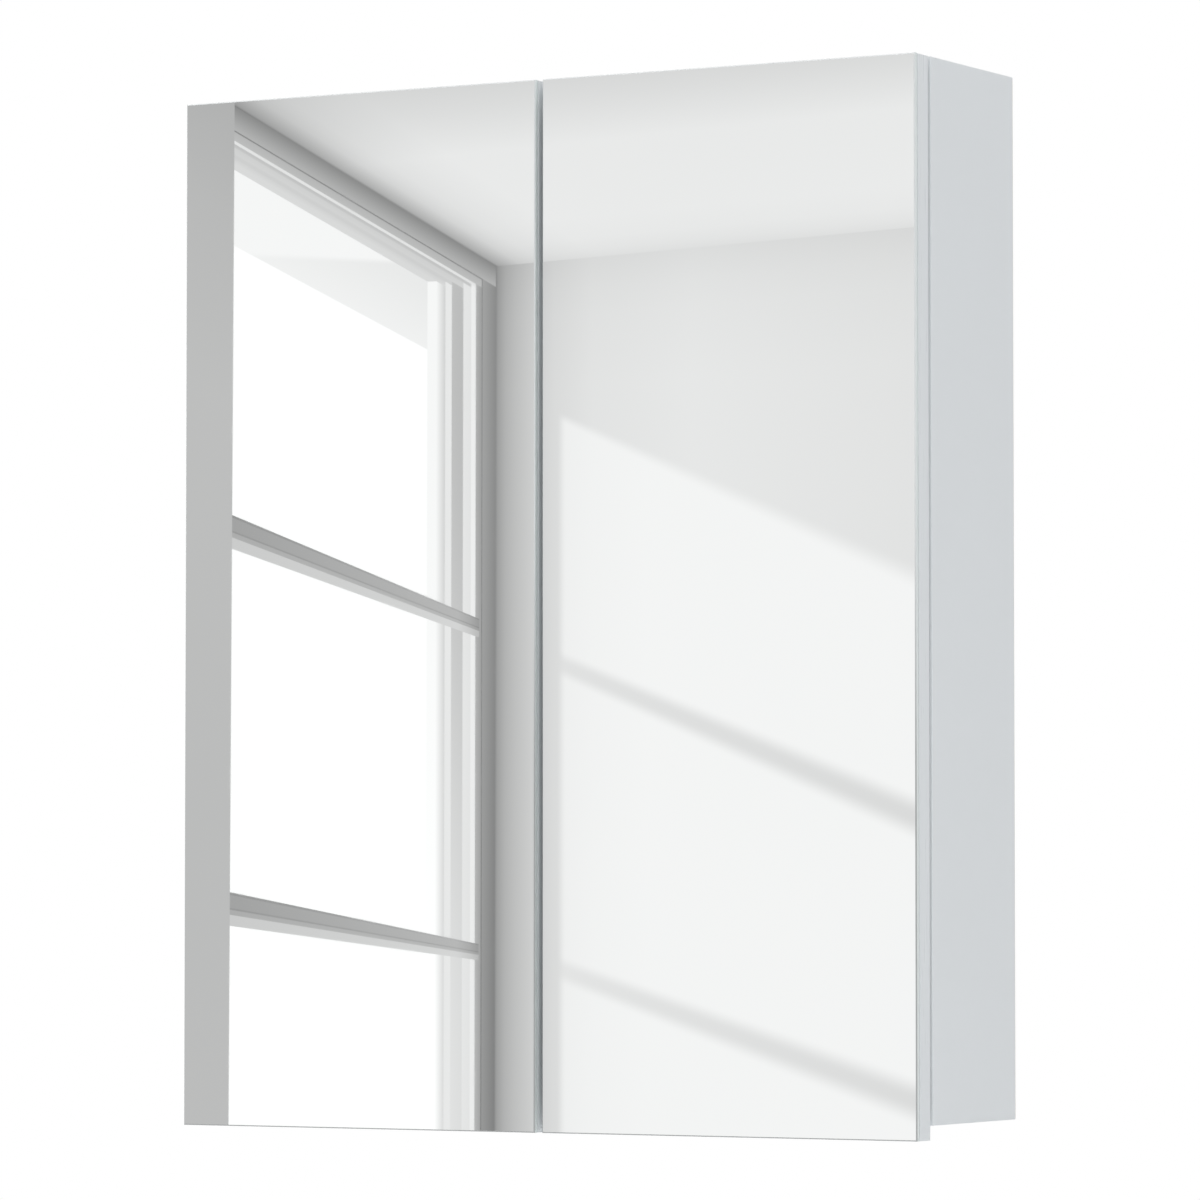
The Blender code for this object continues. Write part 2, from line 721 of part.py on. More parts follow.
def hanger_hook(label, side):
    """The steel hook: a body inside the housing, a shank through the back and a lip over the wall plate."""
    lip_front, lip_back = HOOK_LIP
    body_front, body_rear = HOOK_BODY
    shank_low, shank_high = HOOK_SHANK
    outline = [
        (body_front, shank_high),
        (lip_back, shank_high),
        (lip_back, HOOK_LIP_END),
        (lip_front, HOOK_LIP_END),
        (lip_front, shank_low),
        (body_rear, shank_low),
        (body_rear, HOOK_BODY_END),
        (body_front, HOOK_BODY_END),
    ]
    near, far = (side * (WIDTH / 2 - inward) for inward in HOOK_INWARD)
    extruded(f"{label}_hanger_hook", outline, near, far, "X", ZINC, PARTS)


def wall_plate(label, side):
    """The plate screwed to the wall, bent forward at its top so that the hook's lip drops behind it."""
    low, step, lip_top = WALL_PLATE_HEIGHTS
    metal, upstand = WALL_PLATE_METAL, WALL_PLATE_UPSTAND
    outline = [
        (0, low),
        (0, step),
        (upstand, step),
        (upstand, lip_top),
        (upstand - metal, lip_top),
        (upstand - metal, step - metal),
        (-metal, step - metal),
        (-metal, low),
    ]
    near, far = (side * (WIDTH / 2 - inward) for inward in WALL_PLATE_INWARD)
    plate = extruded(f"{label}_wall_plate", outline, near, far, "X", ZINC, PARTS)
    for direction in (-1, 1):
        x = (near + far) / 2 + direction * WALL_SCREW_OFFSET
        start = (x, -metal - OVERSHOOT, WALL_SCREW_LEVEL)
        end = (x, OVERSHOOT, WALL_SCREW_LEVEL)
        cut(plate, rod(f"{label}_wall_screw_hole", start, end, WALL_SCREW_RADIUS, vertices=16))


def hanger_metal(label, side):
    hanger_hook(label, side)
    wall_plate(label, side)


# ---------------------------------------------------------------- assembly

clear_scene()
PARTS = collection("hanging_wall_cabinet")
CUTTERS = collection("cutters")

WHITE_BOARD = material("white_board", (0.80, 0.81, 0.82), 0.4)
WHITE_BACK = material("white_back", (0.78, 0.79, 0.80), 0.5)
MIRROR = material("mirror", (0.86, 0.88, 0.88), 0.03, 1.0)
ADHESIVE = material("adhesive", (0.60, 0.60, 0.58), 0.8)
GLASS = material("shelf_glass", (0.70, 0.82, 0.78), 0.05)
STEEL = material("nickel_steel", (0.66, 0.66, 0.65), 0.28, 1.0)
SPRING_STEEL = material("spring_steel", (0.42, 0.42, 0.43), 0.35, 1.0)
ZINC = material("zinc_steel", (0.62, 0.63, 0.65), 0.4, 1.0)
WHITE_PLASTIC = material("white_plastic", (0.86, 0.86, 0.85), 0.4)
CLEAR_RUBBER = material("clear_rubber", (0.72, 0.74, 0.75), 0.3)

for panel_label, panel_side in SIDES.items():
    side_panel(f"{panel_label}_side_panel", panel_side)
cross_panel("top_panel", 0, 1)
cross_panel("bottom_panel", LOWER_MIDDLE, -1)
back_panel()
for shelf_label, shelf_height in SHELF_HEIGHTS.items():
    shelf(shelf_label, shelf_height)
for side_label, side_sign in SIDES.items():
    for level, level_z in HINGE_LEVELS.items():
        hinge_arm(f"{side_label}_{level}_hinge_arm", side_sign, level_z)
        hinge_plate(f"{side_label}_{level}_hinge_plate", side_sign, level_z)
    hanger_housing(side_label, side_sign)
    moving(f"{side_label}_door_axis", hinge_point(side_sign, *PIVOT, 0), door, side_label, side_sign)
    hook_middle = side_sign * (WIDTH / 2 - sum(HOOK_INWARD) / 2)
    moving(f"{side_label}_hanger_axis", (hook_middle, 0, 0), hanger_metal, side_label, side_sign)
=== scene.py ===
"""The looks of the hanging wall cabinet with mirror doors: fine meshes, materials, camera and studio.

The wall is the plane y = 0, the doors face -Y, and the right-hand side is +X. Metres throughout.
"""

import json
import math

import bmesh
import bpy
from mathutils import Matrix, Vector

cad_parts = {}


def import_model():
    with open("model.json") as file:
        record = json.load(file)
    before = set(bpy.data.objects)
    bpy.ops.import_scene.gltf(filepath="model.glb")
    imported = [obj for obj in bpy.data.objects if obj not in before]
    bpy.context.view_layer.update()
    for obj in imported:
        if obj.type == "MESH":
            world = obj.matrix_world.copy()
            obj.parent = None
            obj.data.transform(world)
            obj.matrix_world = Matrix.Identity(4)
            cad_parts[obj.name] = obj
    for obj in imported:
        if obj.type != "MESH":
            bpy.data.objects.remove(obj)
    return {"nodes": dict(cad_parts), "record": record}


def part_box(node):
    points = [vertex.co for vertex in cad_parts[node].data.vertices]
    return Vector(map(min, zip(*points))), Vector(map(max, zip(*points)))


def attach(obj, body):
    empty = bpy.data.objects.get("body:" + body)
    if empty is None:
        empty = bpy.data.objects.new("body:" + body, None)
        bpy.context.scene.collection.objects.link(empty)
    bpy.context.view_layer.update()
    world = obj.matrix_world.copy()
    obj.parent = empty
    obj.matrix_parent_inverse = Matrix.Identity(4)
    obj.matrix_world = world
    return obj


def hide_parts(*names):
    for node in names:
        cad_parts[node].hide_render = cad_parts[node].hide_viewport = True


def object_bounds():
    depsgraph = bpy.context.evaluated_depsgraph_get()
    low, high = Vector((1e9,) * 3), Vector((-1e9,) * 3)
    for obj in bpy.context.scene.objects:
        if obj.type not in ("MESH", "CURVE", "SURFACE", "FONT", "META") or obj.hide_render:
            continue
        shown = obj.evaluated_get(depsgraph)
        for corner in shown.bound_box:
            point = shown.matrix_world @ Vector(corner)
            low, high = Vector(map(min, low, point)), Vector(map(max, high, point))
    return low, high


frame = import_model()
CAD_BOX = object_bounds()

MM = 0.001
SIDES = {"left": -1, "right": 1}
LEVELS = ("lower", "upper")
CARCASS = "carcass"
RECORD = frame["record"]
BODY_OF_NODE = {node: body for body, nodes in RECORD["behaviour"]["bodies"].items() for node in nodes}
SLOT_OF_NODE = {row["node"]: row["material_slot"] for row in RECORD["subparts"]}

# Surface details that are finer than the CAD model
BAND = 1.0 * MM
BAND_ROUNDING = 0.6 * MM
SEAM = 0.06 * MM
ARRIS = 0.8 * MM
REAR_CHAMFER = 0.3 * MM
SHELF_ROUNDING = 0.7 * MM
# How far the edges of the other pieces are rounded, by the end of the node's name
ROUNDING = {
    "back_panel": 0.2 * MM,
    "cam_lock": 0.3 * MM,
    "hinge_cup": 0.15 * MM,
    "hinge_arm": 0.5 * MM,
    "hinge_plate": 0.4 * MM,
    "hanger_housing": 0.5 * MM,
    "hanger_hook": 0.4 * MM,
    "wall_plate": 0.3 * MM,
}

# Edges from the first angle on are shaded sharp, and from the second one on they are rounded
SHARP_ANGLE = math.radians(35)
SOFTENED_ANGLE = math.radians(50)
# Faces within this angle of each other are one face, and points within this distance are one point
FLAT_ANGLE = math.radians(0.5)
MERGE_DISTANCE = 0.002 * MM
# How far a cutting box reaches past what it cuts
OVERSHOOT = 1 * MM

# ---------------------------------------------------------------- material nodes


class Surface:
    """A Principled material with short ways to feed its sockets from procedural textures."""

    def __init__(self, name, colour, roughness, metallic=0.0, **constants):
        self.material = bpy.data.materials.new(name)
        self.material.use_nodes = True
        self.tree = self.material.node_tree
        self.shader = self.tree.nodes["Principled BSDF"]
        self.set("Base Color", (*colour, 1))
        self.set("Roughness", roughness)
        self.set("Metallic", metallic)
        for socket, value in constants.items():
            self.set(socket.replace("_", " ").title().replace("Ior", "IOR"), value)
        coordinates = self.node("ShaderNodeTexCoord")
        self.place = coordinates.outputs["Object"]

    def set(self, socket, value):
        self.shader.inputs[socket].default_value = value

    def feed(self, socket, output):
        self.tree.links.new(output, self.shader.inputs[socket])

    def node(self, kind, **links):
        made = self.tree.nodes.new(kind)
        for socket, value in links.items():
            target = made.inputs[socket]
            if isinstance(value, bpy.types.NodeSocket):
                self.tree.links.new(value, target)
            else:
                target.default_value = value
        return made

    def stretched(self, x, y, z):
        """The coordinates, scaled per axis: a small factor draws a texture out along that axis."""
        made = self.node("ShaderNodeVectorMath", Vector=self.place)
        made.operation = "MULTIPLY"
        made.inputs[1].default_value = (x, y, z)
        return made.outputs[0]

    def noise(self, scale, detail=3.0, roughness=0.5, place=None):
        made = self.node(
            "ShaderNodeTexNoise", Vector=place or self.place, Scale=scale, Detail=detail, Roughness=roughness
        )
        return made.outputs["Fac"]

    def cells(self, scale, place):
        """One random value for each cell of a texture of small cells."""
        made = self.node("ShaderNodeTexVoronoi", Vector=place, Scale=scale)
        return self.node("ShaderNodeSeparateColor", Color=made.outputs["Color"]).outputs[0]

    def maths(self, operation, *values):
        made = self.tree.nodes.new("ShaderNodeMath")
        made.operation = operation
        for socket, value in zip(made.inputs, values):
            if isinstance(value, bpy.types.NodeSocket):
                self.tree.links.new(value, socket)
            else:
                socket.default_value = value
        return made.outputs[0]

    def spread(self, output, low, high):
        """Maps the middle range that most of a noise lies in, 0.3 to 0.7, onto low to high."""
        ends = {"From Min": 0.3, "From Max": 0.7, "To Min": low, "To Max": high}
        return self.node("ShaderNodeMapRange", Value=output, **ends).outputs[0]

    def blend(self, factor, first, second):
        made = self.tree.nodes.new("ShaderNodeMix")
        made.data_type = "RGBA"
        factor_socket, first_socket, second_socket = made.inputs[0], made.inputs[6], made.inputs[7]
        self.tree.links.new(factor, factor_socket)
        for socket, value in ((first_socket, first), (second_socket, second)):
            if isinstance(value, bpy.types.NodeSocket):
                self.tree.links.new(value, socket)
            else:
                socket.default_value = (*value, 1)
        return made.outputs[2]

    def ramp(self, output, *stops):
        """Colours at positions along a texture's value: stops are (position, colour)."""
        made = self.node("ShaderNodeValToRGB", Fac=output)
        elements = made.color_ramp.elements
        stops = list(stops)
        for position, _ in stops[1:-1]:
            elements.new(position)
        elements[0].position = stops[0][0]
        elements[-1].position = stops[-1][0]
        for element, (_, colour) in zip(elements, stops):
            element.color = (*colour, 1)
        return made.outputs["Color"]

    def ragged(self, place, scale, amount):
        """The coordinates, pushed about by a fine noise so that what is drawn with them looks torn."""
        push = self.node("ShaderNodeTexNoise", Vector=self.place, Scale=scale, Detail=3.0)
        made = self.node("ShaderNodeVectorMath", Vector=push.outputs["Color"])
        made.operation = "MULTIPLY_ADD"
        made.inputs[1].default_value = (amount, amount, amount)
        self.tree.links.new(place, made.inputs[2])
        return made.outputs[0]

    def chipboard(self):
        """Uncovered particle board: long and short chips of wood with fine dust and glue between them."""
        chips = self.cells(620, self.ragged(self.stretched(0.6, 1, 0.8), 900, 1.1 * MM))
        dust = self.cells(1900, self.ragged(self.stretched(0.7, 1, 1), 1700, 0.5 * MM))
        fibres = self.noise(1.0, 4, 0.7, self.stretched(700, 700, 2600))
        mostly_dust = self.fade(self.noise(480, 4, 0.6), 0.42, 0.60)
        value = self.maths("ADD", self.maths("MULTIPLY", chips, 0.55), self.maths("MULTIPLY", fibres, 0.4))
        fine = self.maths("ADD", self.maths("MULTIPLY", dust, 0.5), self.maths("MULTIPLY", fibres, 0.4))
        spread = self.maths("MULTIPLY", self.maths("SUBTRACT", fine, value), mostly_dust)
        return self.ramp(
            self.maths("ADD", value, spread),
            (0.0, (0.27, 0.18, 0.10)),
            (0.35, (0.46, 0.34, 0.21)),
            (0.6, (0.58, 0.45, 0.29)),
            (1.0, (0.72, 0.60, 0.43)),
        )

    def fade(self, value, start, end):
        """0 at start and 1 at end, smooth between them, whichever of the two is greater."""
        made = self.node("ShaderNodeMapRange", Value=value, **{"From Min": start, "From Max": end})
        made.interpolation_type = "SMOOTHSTEP"
        return made.outputs[0]

    def bump(self, height, strength, distance):
        made = self.node("ShaderNodeBump", Height=height, Strength=strength, Distance=distance)
        self.feed("Normal", made.outputs["Normal"])

    def axis(self, index):
        made = self.node("ShaderNodeSeparateXYZ", Vector=self.place)
        return made.outputs[index]


def varied(colour, amount):
    """The same colour a little darker and a little lighter."""
    return tuple(c * (1 - amount) for c in colour), tuple(min(1, c * (1 + amount)) for c in colour)


WHITE = (0.80, 0.825, 0.84)
# The painted shade of a mirror's arris, low down and all along its downward edge
ARRIS_PAINTED_SHADE = (0.42, 0.43, 0.43)
# The heights between which a mirror's arris goes from its own colour above to the painted shade below
ARRIS_SHADE_FADE = (-0.28, -0.52)
# How deep the uncovered surface reaches into the panels' rear edges and into the back panel
RAW_EDGE = 0.15 * MM
RAW_BACK = 0.4 * MM


def melamine(name, raw_rear):
    """White satin melamine. Where raw_rear is set, the uncovered chips show on the panel's rear edge."""
    surface = Surface(name, WHITE, 0.36)
    dull, bright = varied(WHITE, 0.012)
    faces = surface.blend(surface.noise(9, 4), dull, bright)
    if raw_rear:
        board = surface.chipboard()
        rear = surface.maths("GREATER_THAN", surface.axis(1), CAD_BOX[1].y - RAW_EDGE)
        surface.feed("Base Color", surface.blend(rear, faces, board))
        surface.feed("Roughness", surface.maths("MULTIPLY_ADD", rear, 0.45, 0.36))
    else:
        surface.feed("Base Color", faces)
        surface.feed("Roughness", surface.spread(surface.noise(35, 2), 0.33, 0.40))
    surface.bump(surface.noise(1100, 2, 0.6), 0.12, 0.05 * MM)
    return surface.material


def edge_band(name, run):
    """White plastic edge band with faint streaks along the axis that it runs along."""
    surface = Surface(name, WHITE, 0.3)
    dull, bright = varied(WHITE, 0.015)
    fineness = [900, 900, 900]
    fineness[run] = 25
    streaks = surface.noise(1.0, 2, 0.5, surface.stretched(*fineness))
    surface.feed("Base Color", surface.blend(streaks, dull, bright))
    surface.feed("Roughness", surface.spread(streaks, 0.27, 0.34))
    surface.bump(streaks, 0.08, 0.04 * MM)
    return surface.material


def hardboard():
    """The back panel: white lacquer on the side seen inside, bare brown fibreboard behind."""
    surface = Surface("back_board", (0.78, 0.80, 0.81), 0.45)
    fibres = surface.noise(1.0, 6, 0.7, surface.stretched(500, 500, 190))
    bare = surface.ramp(
        fibres, (0.3, (0.20, 0.125, 0.07)), (0.55, (0.33, 0.22, 0.13)), (0.8, (0.44, 0.31, 0.19))
    )
    lacquer = surface.blend(surface.noise(14, 3), (0.77, 0.79, 0.80), (0.80, 0.82, 0.83))
    behind = surface.maths("GREATER_THAN", surface.axis(1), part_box("back_panel")[1].y - RAW_BACK)
    surface.feed("Base Color", surface.blend(behind, lacquer, bare))
    surface.feed("Roughness", surface.maths("MULTIPLY_ADD", behind, 0.35, 0.42))
    surface.bump(surface.noise(700, 4, 0.6), 0.25, 0.08 * MM)
    return surface.material


def silvering():
    """The mirror seen through its glass: an almost perfect reflection with a trace of haze."""
    surface = Surface("silvering", (0.955, 0.965, 0.96), 0.01, 1.0)
    tint = surface.blend(surface.noise(4, 3), (0.95, 0.962, 0.957), (0.965, 0.972, 0.968))
    surface.feed("Base Color", tint)
    surface.feed("Roughness", surface.spread(surface.noise(55, 5, 0.65), 0.004, 0.014))
    return surface.material


def ground_glass(name, colour, roughness):
    """The surface of glass seen edge on, and the fine lines that the grinding wheel left along it."""
    surface = Surface(name, colour, roughness, specular_ior_level=0.7)
    return surface, surface.noise(1.0, 2, 0.5, surface.stretched(1500, 2500, 60))


def glass_edge(name, colour, roughness):
    """A ground or polished edge of a sheet of glass."""
    surface, lines = ground_glass(name, colour, roughness)
    dull, bright = varied(colour, 0.06)
    surface.feed("Base Color", surface.blend(lines, dull, bright))
    surface.feed("Roughness", surface.spread(lines, roughness * 0.8, roughness * 1.3))
    return surface.material


def glass_arris(name, upper, lower):
    """A mirror's narrow ground front edge, with painted shade that darkens it from its upper to its lower
    part.
    """
    surface, lines = ground_glass(name, upper, 0.12)
    painted_shading = surface.blend(surface.fade(surface.axis(2), *ARRIS_SHADE_FADE), upper, lower)
    grain = surface.node("ShaderNodeHueSaturation", Color=painted_shading, Value=surface.spread(lines, 0.96, 1.03))
    surface.feed("Base Color", grain.outputs["Color"])
    surface.feed("Roughness", surface.spread(lines, 0.09, 0.16))
    return surface.material


def mirror_paint():
    """The dull grey paint on a mirror's back."""
    surface = Surface("mirror_back_paint", (0.30, 0.33, 0.34), 0.55)
    patches = surface.noise(60, 5, 0.6)
    surface.feed("Base Color", surface.blend(patches, (0.27, 0.30, 0.31), (0.34, 0.37, 0.38)))
    surface.bump(surface.noise(1800, 2), 0.2, 0.03 * MM)
    return surface.material


def clear_glass():
    """The clear glass of the shelves, with a faint cloud in its colour and its polish."""
    surface = Surface("shelf_glass", (0.94, 0.985, 0.97), 0.0, transmission_weight=1.0, ior=1.52)
    surface.feed("Base Color", surface.blend(surface.noise(3, 2), (0.93, 0.98, 0.963), (0.95, 0.99, 0.975)))
    surface.feed("Roughness", surface.spread(surface.noise(70, 4), 0.0, 0.012))
    return surface.material


def pressed_metal(name, colour, roughness, tint):
    """Plated sheet metal: a drawn grain, and faint blotches of another tint in the plating."""
    surface = Surface(name, colour, roughness, 1.0)
    dull, bright = varied(colour, 0.05)
    blotches = surface.blend(surface.noise(260, 4, 0.6), dull, bright)
    surface.feed("Base Color", surface.blend(surface.spread(surface.noise(90, 3), 0.0, 0.5), blotches, tint))
    lines = surface.noise(1.0, 3, 0.6, surface.stretched(600, 40, 2600))
    surface.feed("Roughness", surface.spread(lines, roughness * 0.75, roughness * 1.35))
    surface.bump(lines, 0.10, 0.03 * MM)
    return surface.material


def moulded_plastic(name, colour, roughness, **constants):
    """Plastic or rubber with the fine grain of its mould."""
    surface = Surface(name, colour, roughness, **constants)
    dull, bright = varied(colour, 0.02)
    surface.feed("Base Color", surface.blend(surface.noise(120, 3), dull, bright))
    grain = surface.noise(3200, 2, 0.5)
    surface.feed("Roughness", surface.spread(grain, roughness * 0.9, roughness * 1.15))
    surface.bump(grain, 0.15, 0.03 * MM)
    return surface.material


def glue():
    """Mirror adhesive, spread in swirls."""
    surface = Surface("mirror_glue", (0.52, 0.52, 0.50), 0.75)
    swirls = surface.noise(80, 6, 0.7)
    surface.feed("Base Color", surface.blend(swirls, (0.44, 0.44, 0.42), (0.60, 0.60, 0.58)))
    surface.bump(swirls, 0.5, 0.1 * MM)
    return surface.material


MELAMINE_RAW = melamine("melamine_raw_rear", True)
MELAMINE = melamine("melamine", False)
EDGE_BANDS = [edge_band(f"edge_band_{axis_name}", index) for index, axis_name in enumerate("xyz")]
HARDBOARD = hardboard()
SILVERING = silvering()
MIRROR_EDGE = glass_edge("mirror_edge", (0.80, 0.85, 0.84), 0.2)
MIRROR_ARRIS_SHADED_LOW = glass_arris("mirror_arris_shaded_low", (0.80, 0.82, 0.82), ARRIS_PAINTED_SHADE)
MIRROR_LOW_ARRIS_SHADED = glass_arris("mirror_low_arris_shaded", ARRIS_PAINTED_SHADE, ARRIS_PAINTED_SHADE)
MIRROR_PAINT = mirror_paint()
SHELF_GLASS = clear_glass()
SHELF_EDGE = glass_edge("shelf_edge", (0.30, 0.58, 0.48), 0.16)
NICKEL = pressed_metal("nickel", (0.72, 0.71, 0.69), 0.24, (0.69, 0.67, 0.63))
ZINC = pressed_metal("zinc", (0.66, 0.68, 0.71), 0.34, (0.68, 0.67, 0.62))
SPRING_STEEL = pressed_metal("spring_steel", (0.40, 0.40, 0.41), 0.36, (0.36, 0.35, 0.33))
WHITE_PLASTIC = moulded_plastic("white_plastic", (0.86, 0.865, 0.86), 0.42)
BUMPER_RUBBER = moulded_plastic(
    "bumper_rubber", (0.86, 0.88, 0.89), 0.22, transmission_weight=0.55, ior=1.42
)
PIN_SLEEVE = moulded_plastic("pin_sleeve", (0.90, 0.91, 0.91), 0.2, transmission_weight=0.6, ior=1.45)
GLUE = glue()
METAL_OF_SLOT = {"nickel_steel": NICKEL, "zinc_steel": ZINC}

# ---------------------------------------------------------------- mesh helpers


def smooth(mesh):
    mesh.shade_smooth()
    mesh.set_sharp_from_angle(angle=SHARP_ANGLE)


def new_object(name, mesh, *materials):
    obj = bpy.data.objects.new(name, mesh)
    for material in materials:
        mesh.materials.append(material)
    bpy.context.scene.collection.objects.link(obj)
    return obj


def piece(obj, body, slot, *replaced):
    """Fixes a finished piece to its body and hides the nodes that it stands for. The slot is not used."""
    flat_faces = obj.modifiers.new("flat faces stay flat", "WEIGHTED_NORMAL")
    flat_faces.keep_sharp = True
    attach(obj, body)
    if replaced:
        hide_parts(*replaced)


def box_form(low, high):
    form = bmesh.new()
    bmesh.ops.create_cube(form, size=1)
    size = [abs(b - a) for a, b in zip(low, high)]
    middle = [(a + b) / 2 for a, b in zip(low, high)]
    bmesh.ops.scale(form, vec=size, verts=form.verts)
    bmesh.ops.translate(form, vec=middle, verts=form.verts)
    return form


def mesh_from(name, form):
    mesh = bpy.data.meshes.new(name)
    form.to_mesh(mesh)
    form.free()
    return mesh


def smooth_mesh(name, form):
    mesh = mesh_from(name, form)
    smooth(mesh)
    return mesh


def edges_at(form, axis, level):
    """The edges that lie in the plane across an axis at a level."""
    return [edge for edge in form.edges if all(abs(v.co[axis] - level) < MERGE_DISTANCE for v in edge.verts)]


def bevel(form, edges, width, segments=1):
    bmesh.ops.bevel(form, geom=edges, offset=width, segments=segments, profile=0.5, affect="EDGES")


def quarter_turn(steps):
    """The angles from 0 to 90 degrees in equal steps, with both ends."""
    return [math.radians(90 * i / steps) for i in range(steps + 1)]


def aim(obj, towards, turn=0.0):
    """Turns an object's Z axis to a direction, after a turn about that axis in degrees."""
    spin = Matrix.Rotation(math.radians(turn), 4, "Z").to_quaternion()
    obj.rotation_mode = "QUATERNION"
    obj.rotation_quaternion = Vector(towards).to_track_quat("Z", "Y") @ spin


def lathe(name, profile, steps):
    """A closed turned mesh about Z: profile is (radius, height) from the top's middle to the bottom's."""
    form = bmesh.new()
    points = [form.verts.new((radius, 0, height)) for radius, height in profile]
    edges = [form.edges.new(pair) for pair in zip(points, points[1:])]
    bmesh.ops.spin(
        form,
        geom=points + edges,
        cent=(0, 0, 0),
        axis=(0, 0, 1),
        angle=math.tau,
        steps=steps,
        use_merge=True,
    )
    bmesh.ops.remove_doubles(form, verts=form.verts, dist=MERGE_DISTANCE)
    bmesh.ops.recalc_face_normals(form, faces=form.faces)
    return smooth_mesh(name, form)


def baked(obj):
    """The object's mesh with its modifiers applied, shaded smooth between its sharp edges."""
    evaluated = obj.evaluated_get(bpy.context.evaluated_depsgraph_get())
    mesh = bpy.data.meshes.new_from_object(evaluated)
    smooth(mesh)
    return mesh


def carved(mesh, *cutters, keep=None):
    """The mesh with the cutter meshes cut away, or only what lies inside the mesh given as keep."""
    obj = new_object("carving", mesh)
    tools = []
    for cutter in cutters or (keep,):
        tool = new_object("cutter", cutter)
        tool.hide_render = True
        step = obj.modifiers.new("carve", "BOOLEAN")
        step.operation = "INTERSECT" if keep else "DIFFERENCE"
        step.object = tool
        tools.append(tool)
    result = baked(obj)
    for used in (obj, *tools):
        bpy.data.objects.remove(used)
    return result


def node_copy(node):
    """A CAD node's mesh as a clean closed mesh of flat faces, free of the import's split corners."""
    form = bmesh.new()
    form.from_mesh(frame["nodes"][node].data)
    bmesh.ops.remove_doubles(form, verts=form.verts, dist=MERGE_DISTANCE)
    bmesh.ops.dissolve_limit(form, angle_limit=FLAT_ANGLE, verts=form.verts, edges=form.edges)
    return mesh_from(f"{node}_fine", form)


def softened(mesh, width, segments):
    """The mesh with its sharp edges rounded."""
    obj = new_object("softening", mesh)
    step = obj.modifiers.new("edges", "BEVEL")
    step.width = width
    step.segments = segments
    step.limit_method = "ANGLE"
    step.angle_limit = SOFTENED_ANGLE
    step.use_clamp_overlap = True
    result = baked(obj)
    bpy.data.objects.remove(obj)
    return result


def stand_in(obj, node):
    """Makes a finished object the piece that is shown in a CAD node's place."""
    piece(obj, BODY_OF_NODE[node], SLOT_OF_NODE[node], node)


def refined(node, material, segments=2):
    """Stands in for a CAD node whose shape is right, with rounded edges and a finished material."""
    width = next(width for ending, width in ROUNDING.items() if node.endswith(ending))
    stand_in(new_object(f"{node}_fine", softened(node_copy(node), width, segments), material), node)


# ---------------------------------------------------------------- boards with edge bands


def banded_board(node, material, banded):
    """A board whose edges named in banded, such as "-y", carry bands: the first ones run full length."""
    low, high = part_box(node)
    core_low, core_high = low.copy(), high.copy()
    for sign, letter in banded:
        axis = "xyz".index(letter)
        band_low, band_high = core_low.copy(), core_high.copy()
        if sign == "-":
            band_high[axis] = core_low[axis] = low[axis] + BAND
        else:
            band_low[axis] = core_high[axis] = high[axis] - BAND
        name = f"{node}_band_{'low' if sign == '-' else 'high'}_{letter}"
        run = max(range(3), key=lambda i: band_high[i] - band_low[i])
        mesh = band_mesh(name, band_low, band_high, sign, axis)
        piece(new_object(name, mesh, EDGE_BANDS[run]), BODY_OF_NODE[node], SLOT_OF_NODE[node])
    for axis, letter in enumerate("xyz"):
        if f"-{letter}" not in banded:
            core_low[axis] -= OVERSHOOT
        if f"+{letter}" not in banded:
            core_high[axis] += OVERSHOOT
    core = carved(node_copy(node), keep=mesh_from("keep", box_form(core_low, core_high)))
    stand_in(new_object(f"{node}_core", core, material), node)


def band_mesh(name, low, high, sign, axis):
    """A band with well rounded outer edges and tight inner ones."""
    form = box_form(low, high)
    outer, inner = (low[axis], high[axis]) if sign == "-" else (high[axis], low[axis])
    bevel(form, edges_at(form, axis, outer), BAND_ROUNDING, 3)
    bevel(form, edges_at(form, axis, inner), SEAM)
    return smooth_mesh(name, form)


# ---------------------------------------------------------------- glass

# How far along an axis a face's normal points where the face is square to it, and where it only leans
SQUARE = 0.99
LEANING = 0.1


def mirror(node):
    """A mirror with a narrow arris round its front, ground edges and a painted back."""
    low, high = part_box(node)
    form = box_form(low, high)
    bevel(form, edges_at(form, 1, low.y), ARRIS)
    bevel(form, edges_at(form, 1, high.y), REAR_CHAMFER)
    finishes = (SILVERING, MIRROR_ARRIS_SHADED_LOW, MIRROR_EDGE, MIRROR_PAINT, MIRROR_LOW_ARRIS_SHADED)
    for face in form.faces:
        if face.normal.y < -SQUARE:
            finish = SILVERING
        elif face.normal.y < -LEANING:
            # An arris that faces down is painted in shade all over
            finish = MIRROR_LOW_ARRIS_SHADED if face.normal.z < -LEANING else MIRROR_ARRIS_SHADED_LOW
        elif face.normal.y < LEANING:
            finish = MIRROR_EDGE
        else:
            finish = MIRROR_PAINT
        face.material_index = finishes.index(finish)
    stand_in(new_object(f"{node}_plate", mesh_from(node, form), *finishes), node)


def glass_shelf(node):
    """A glass shelf, clear through its faces and green at its rounded edges."""
    form = box_form(*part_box(node))
    bevel(form, form.edges, SHELF_ROUNDING, 2)
    for face in form.faces:
        face.material_index = 0 if abs(face.normal.z) > SQUARE else 1
    stand_in(new_object(f"{node}_plate", smooth_mesh(node, form), SHELF_GLASS, SHELF_EDGE), node)


# ---------------------------------------------------------------- screws

# Each kind of screw head's radius and height
SCREW_SIZES = {
    "cup": (3.3 * MM, 1.5 * MM),
    "plate": (3.7 * MM, 2.0 * MM),
    "adjusting": (3.0 * MM, 1.2 * MM),
    "wall": (5.0 * MM, 2.8 * MM),
}
# A recess's half width as a part of its radius, and what is left of its length and width at its foot
RECESS_WIDTH = 0.17
RECESS_TAPER = (0.45, 0.7)


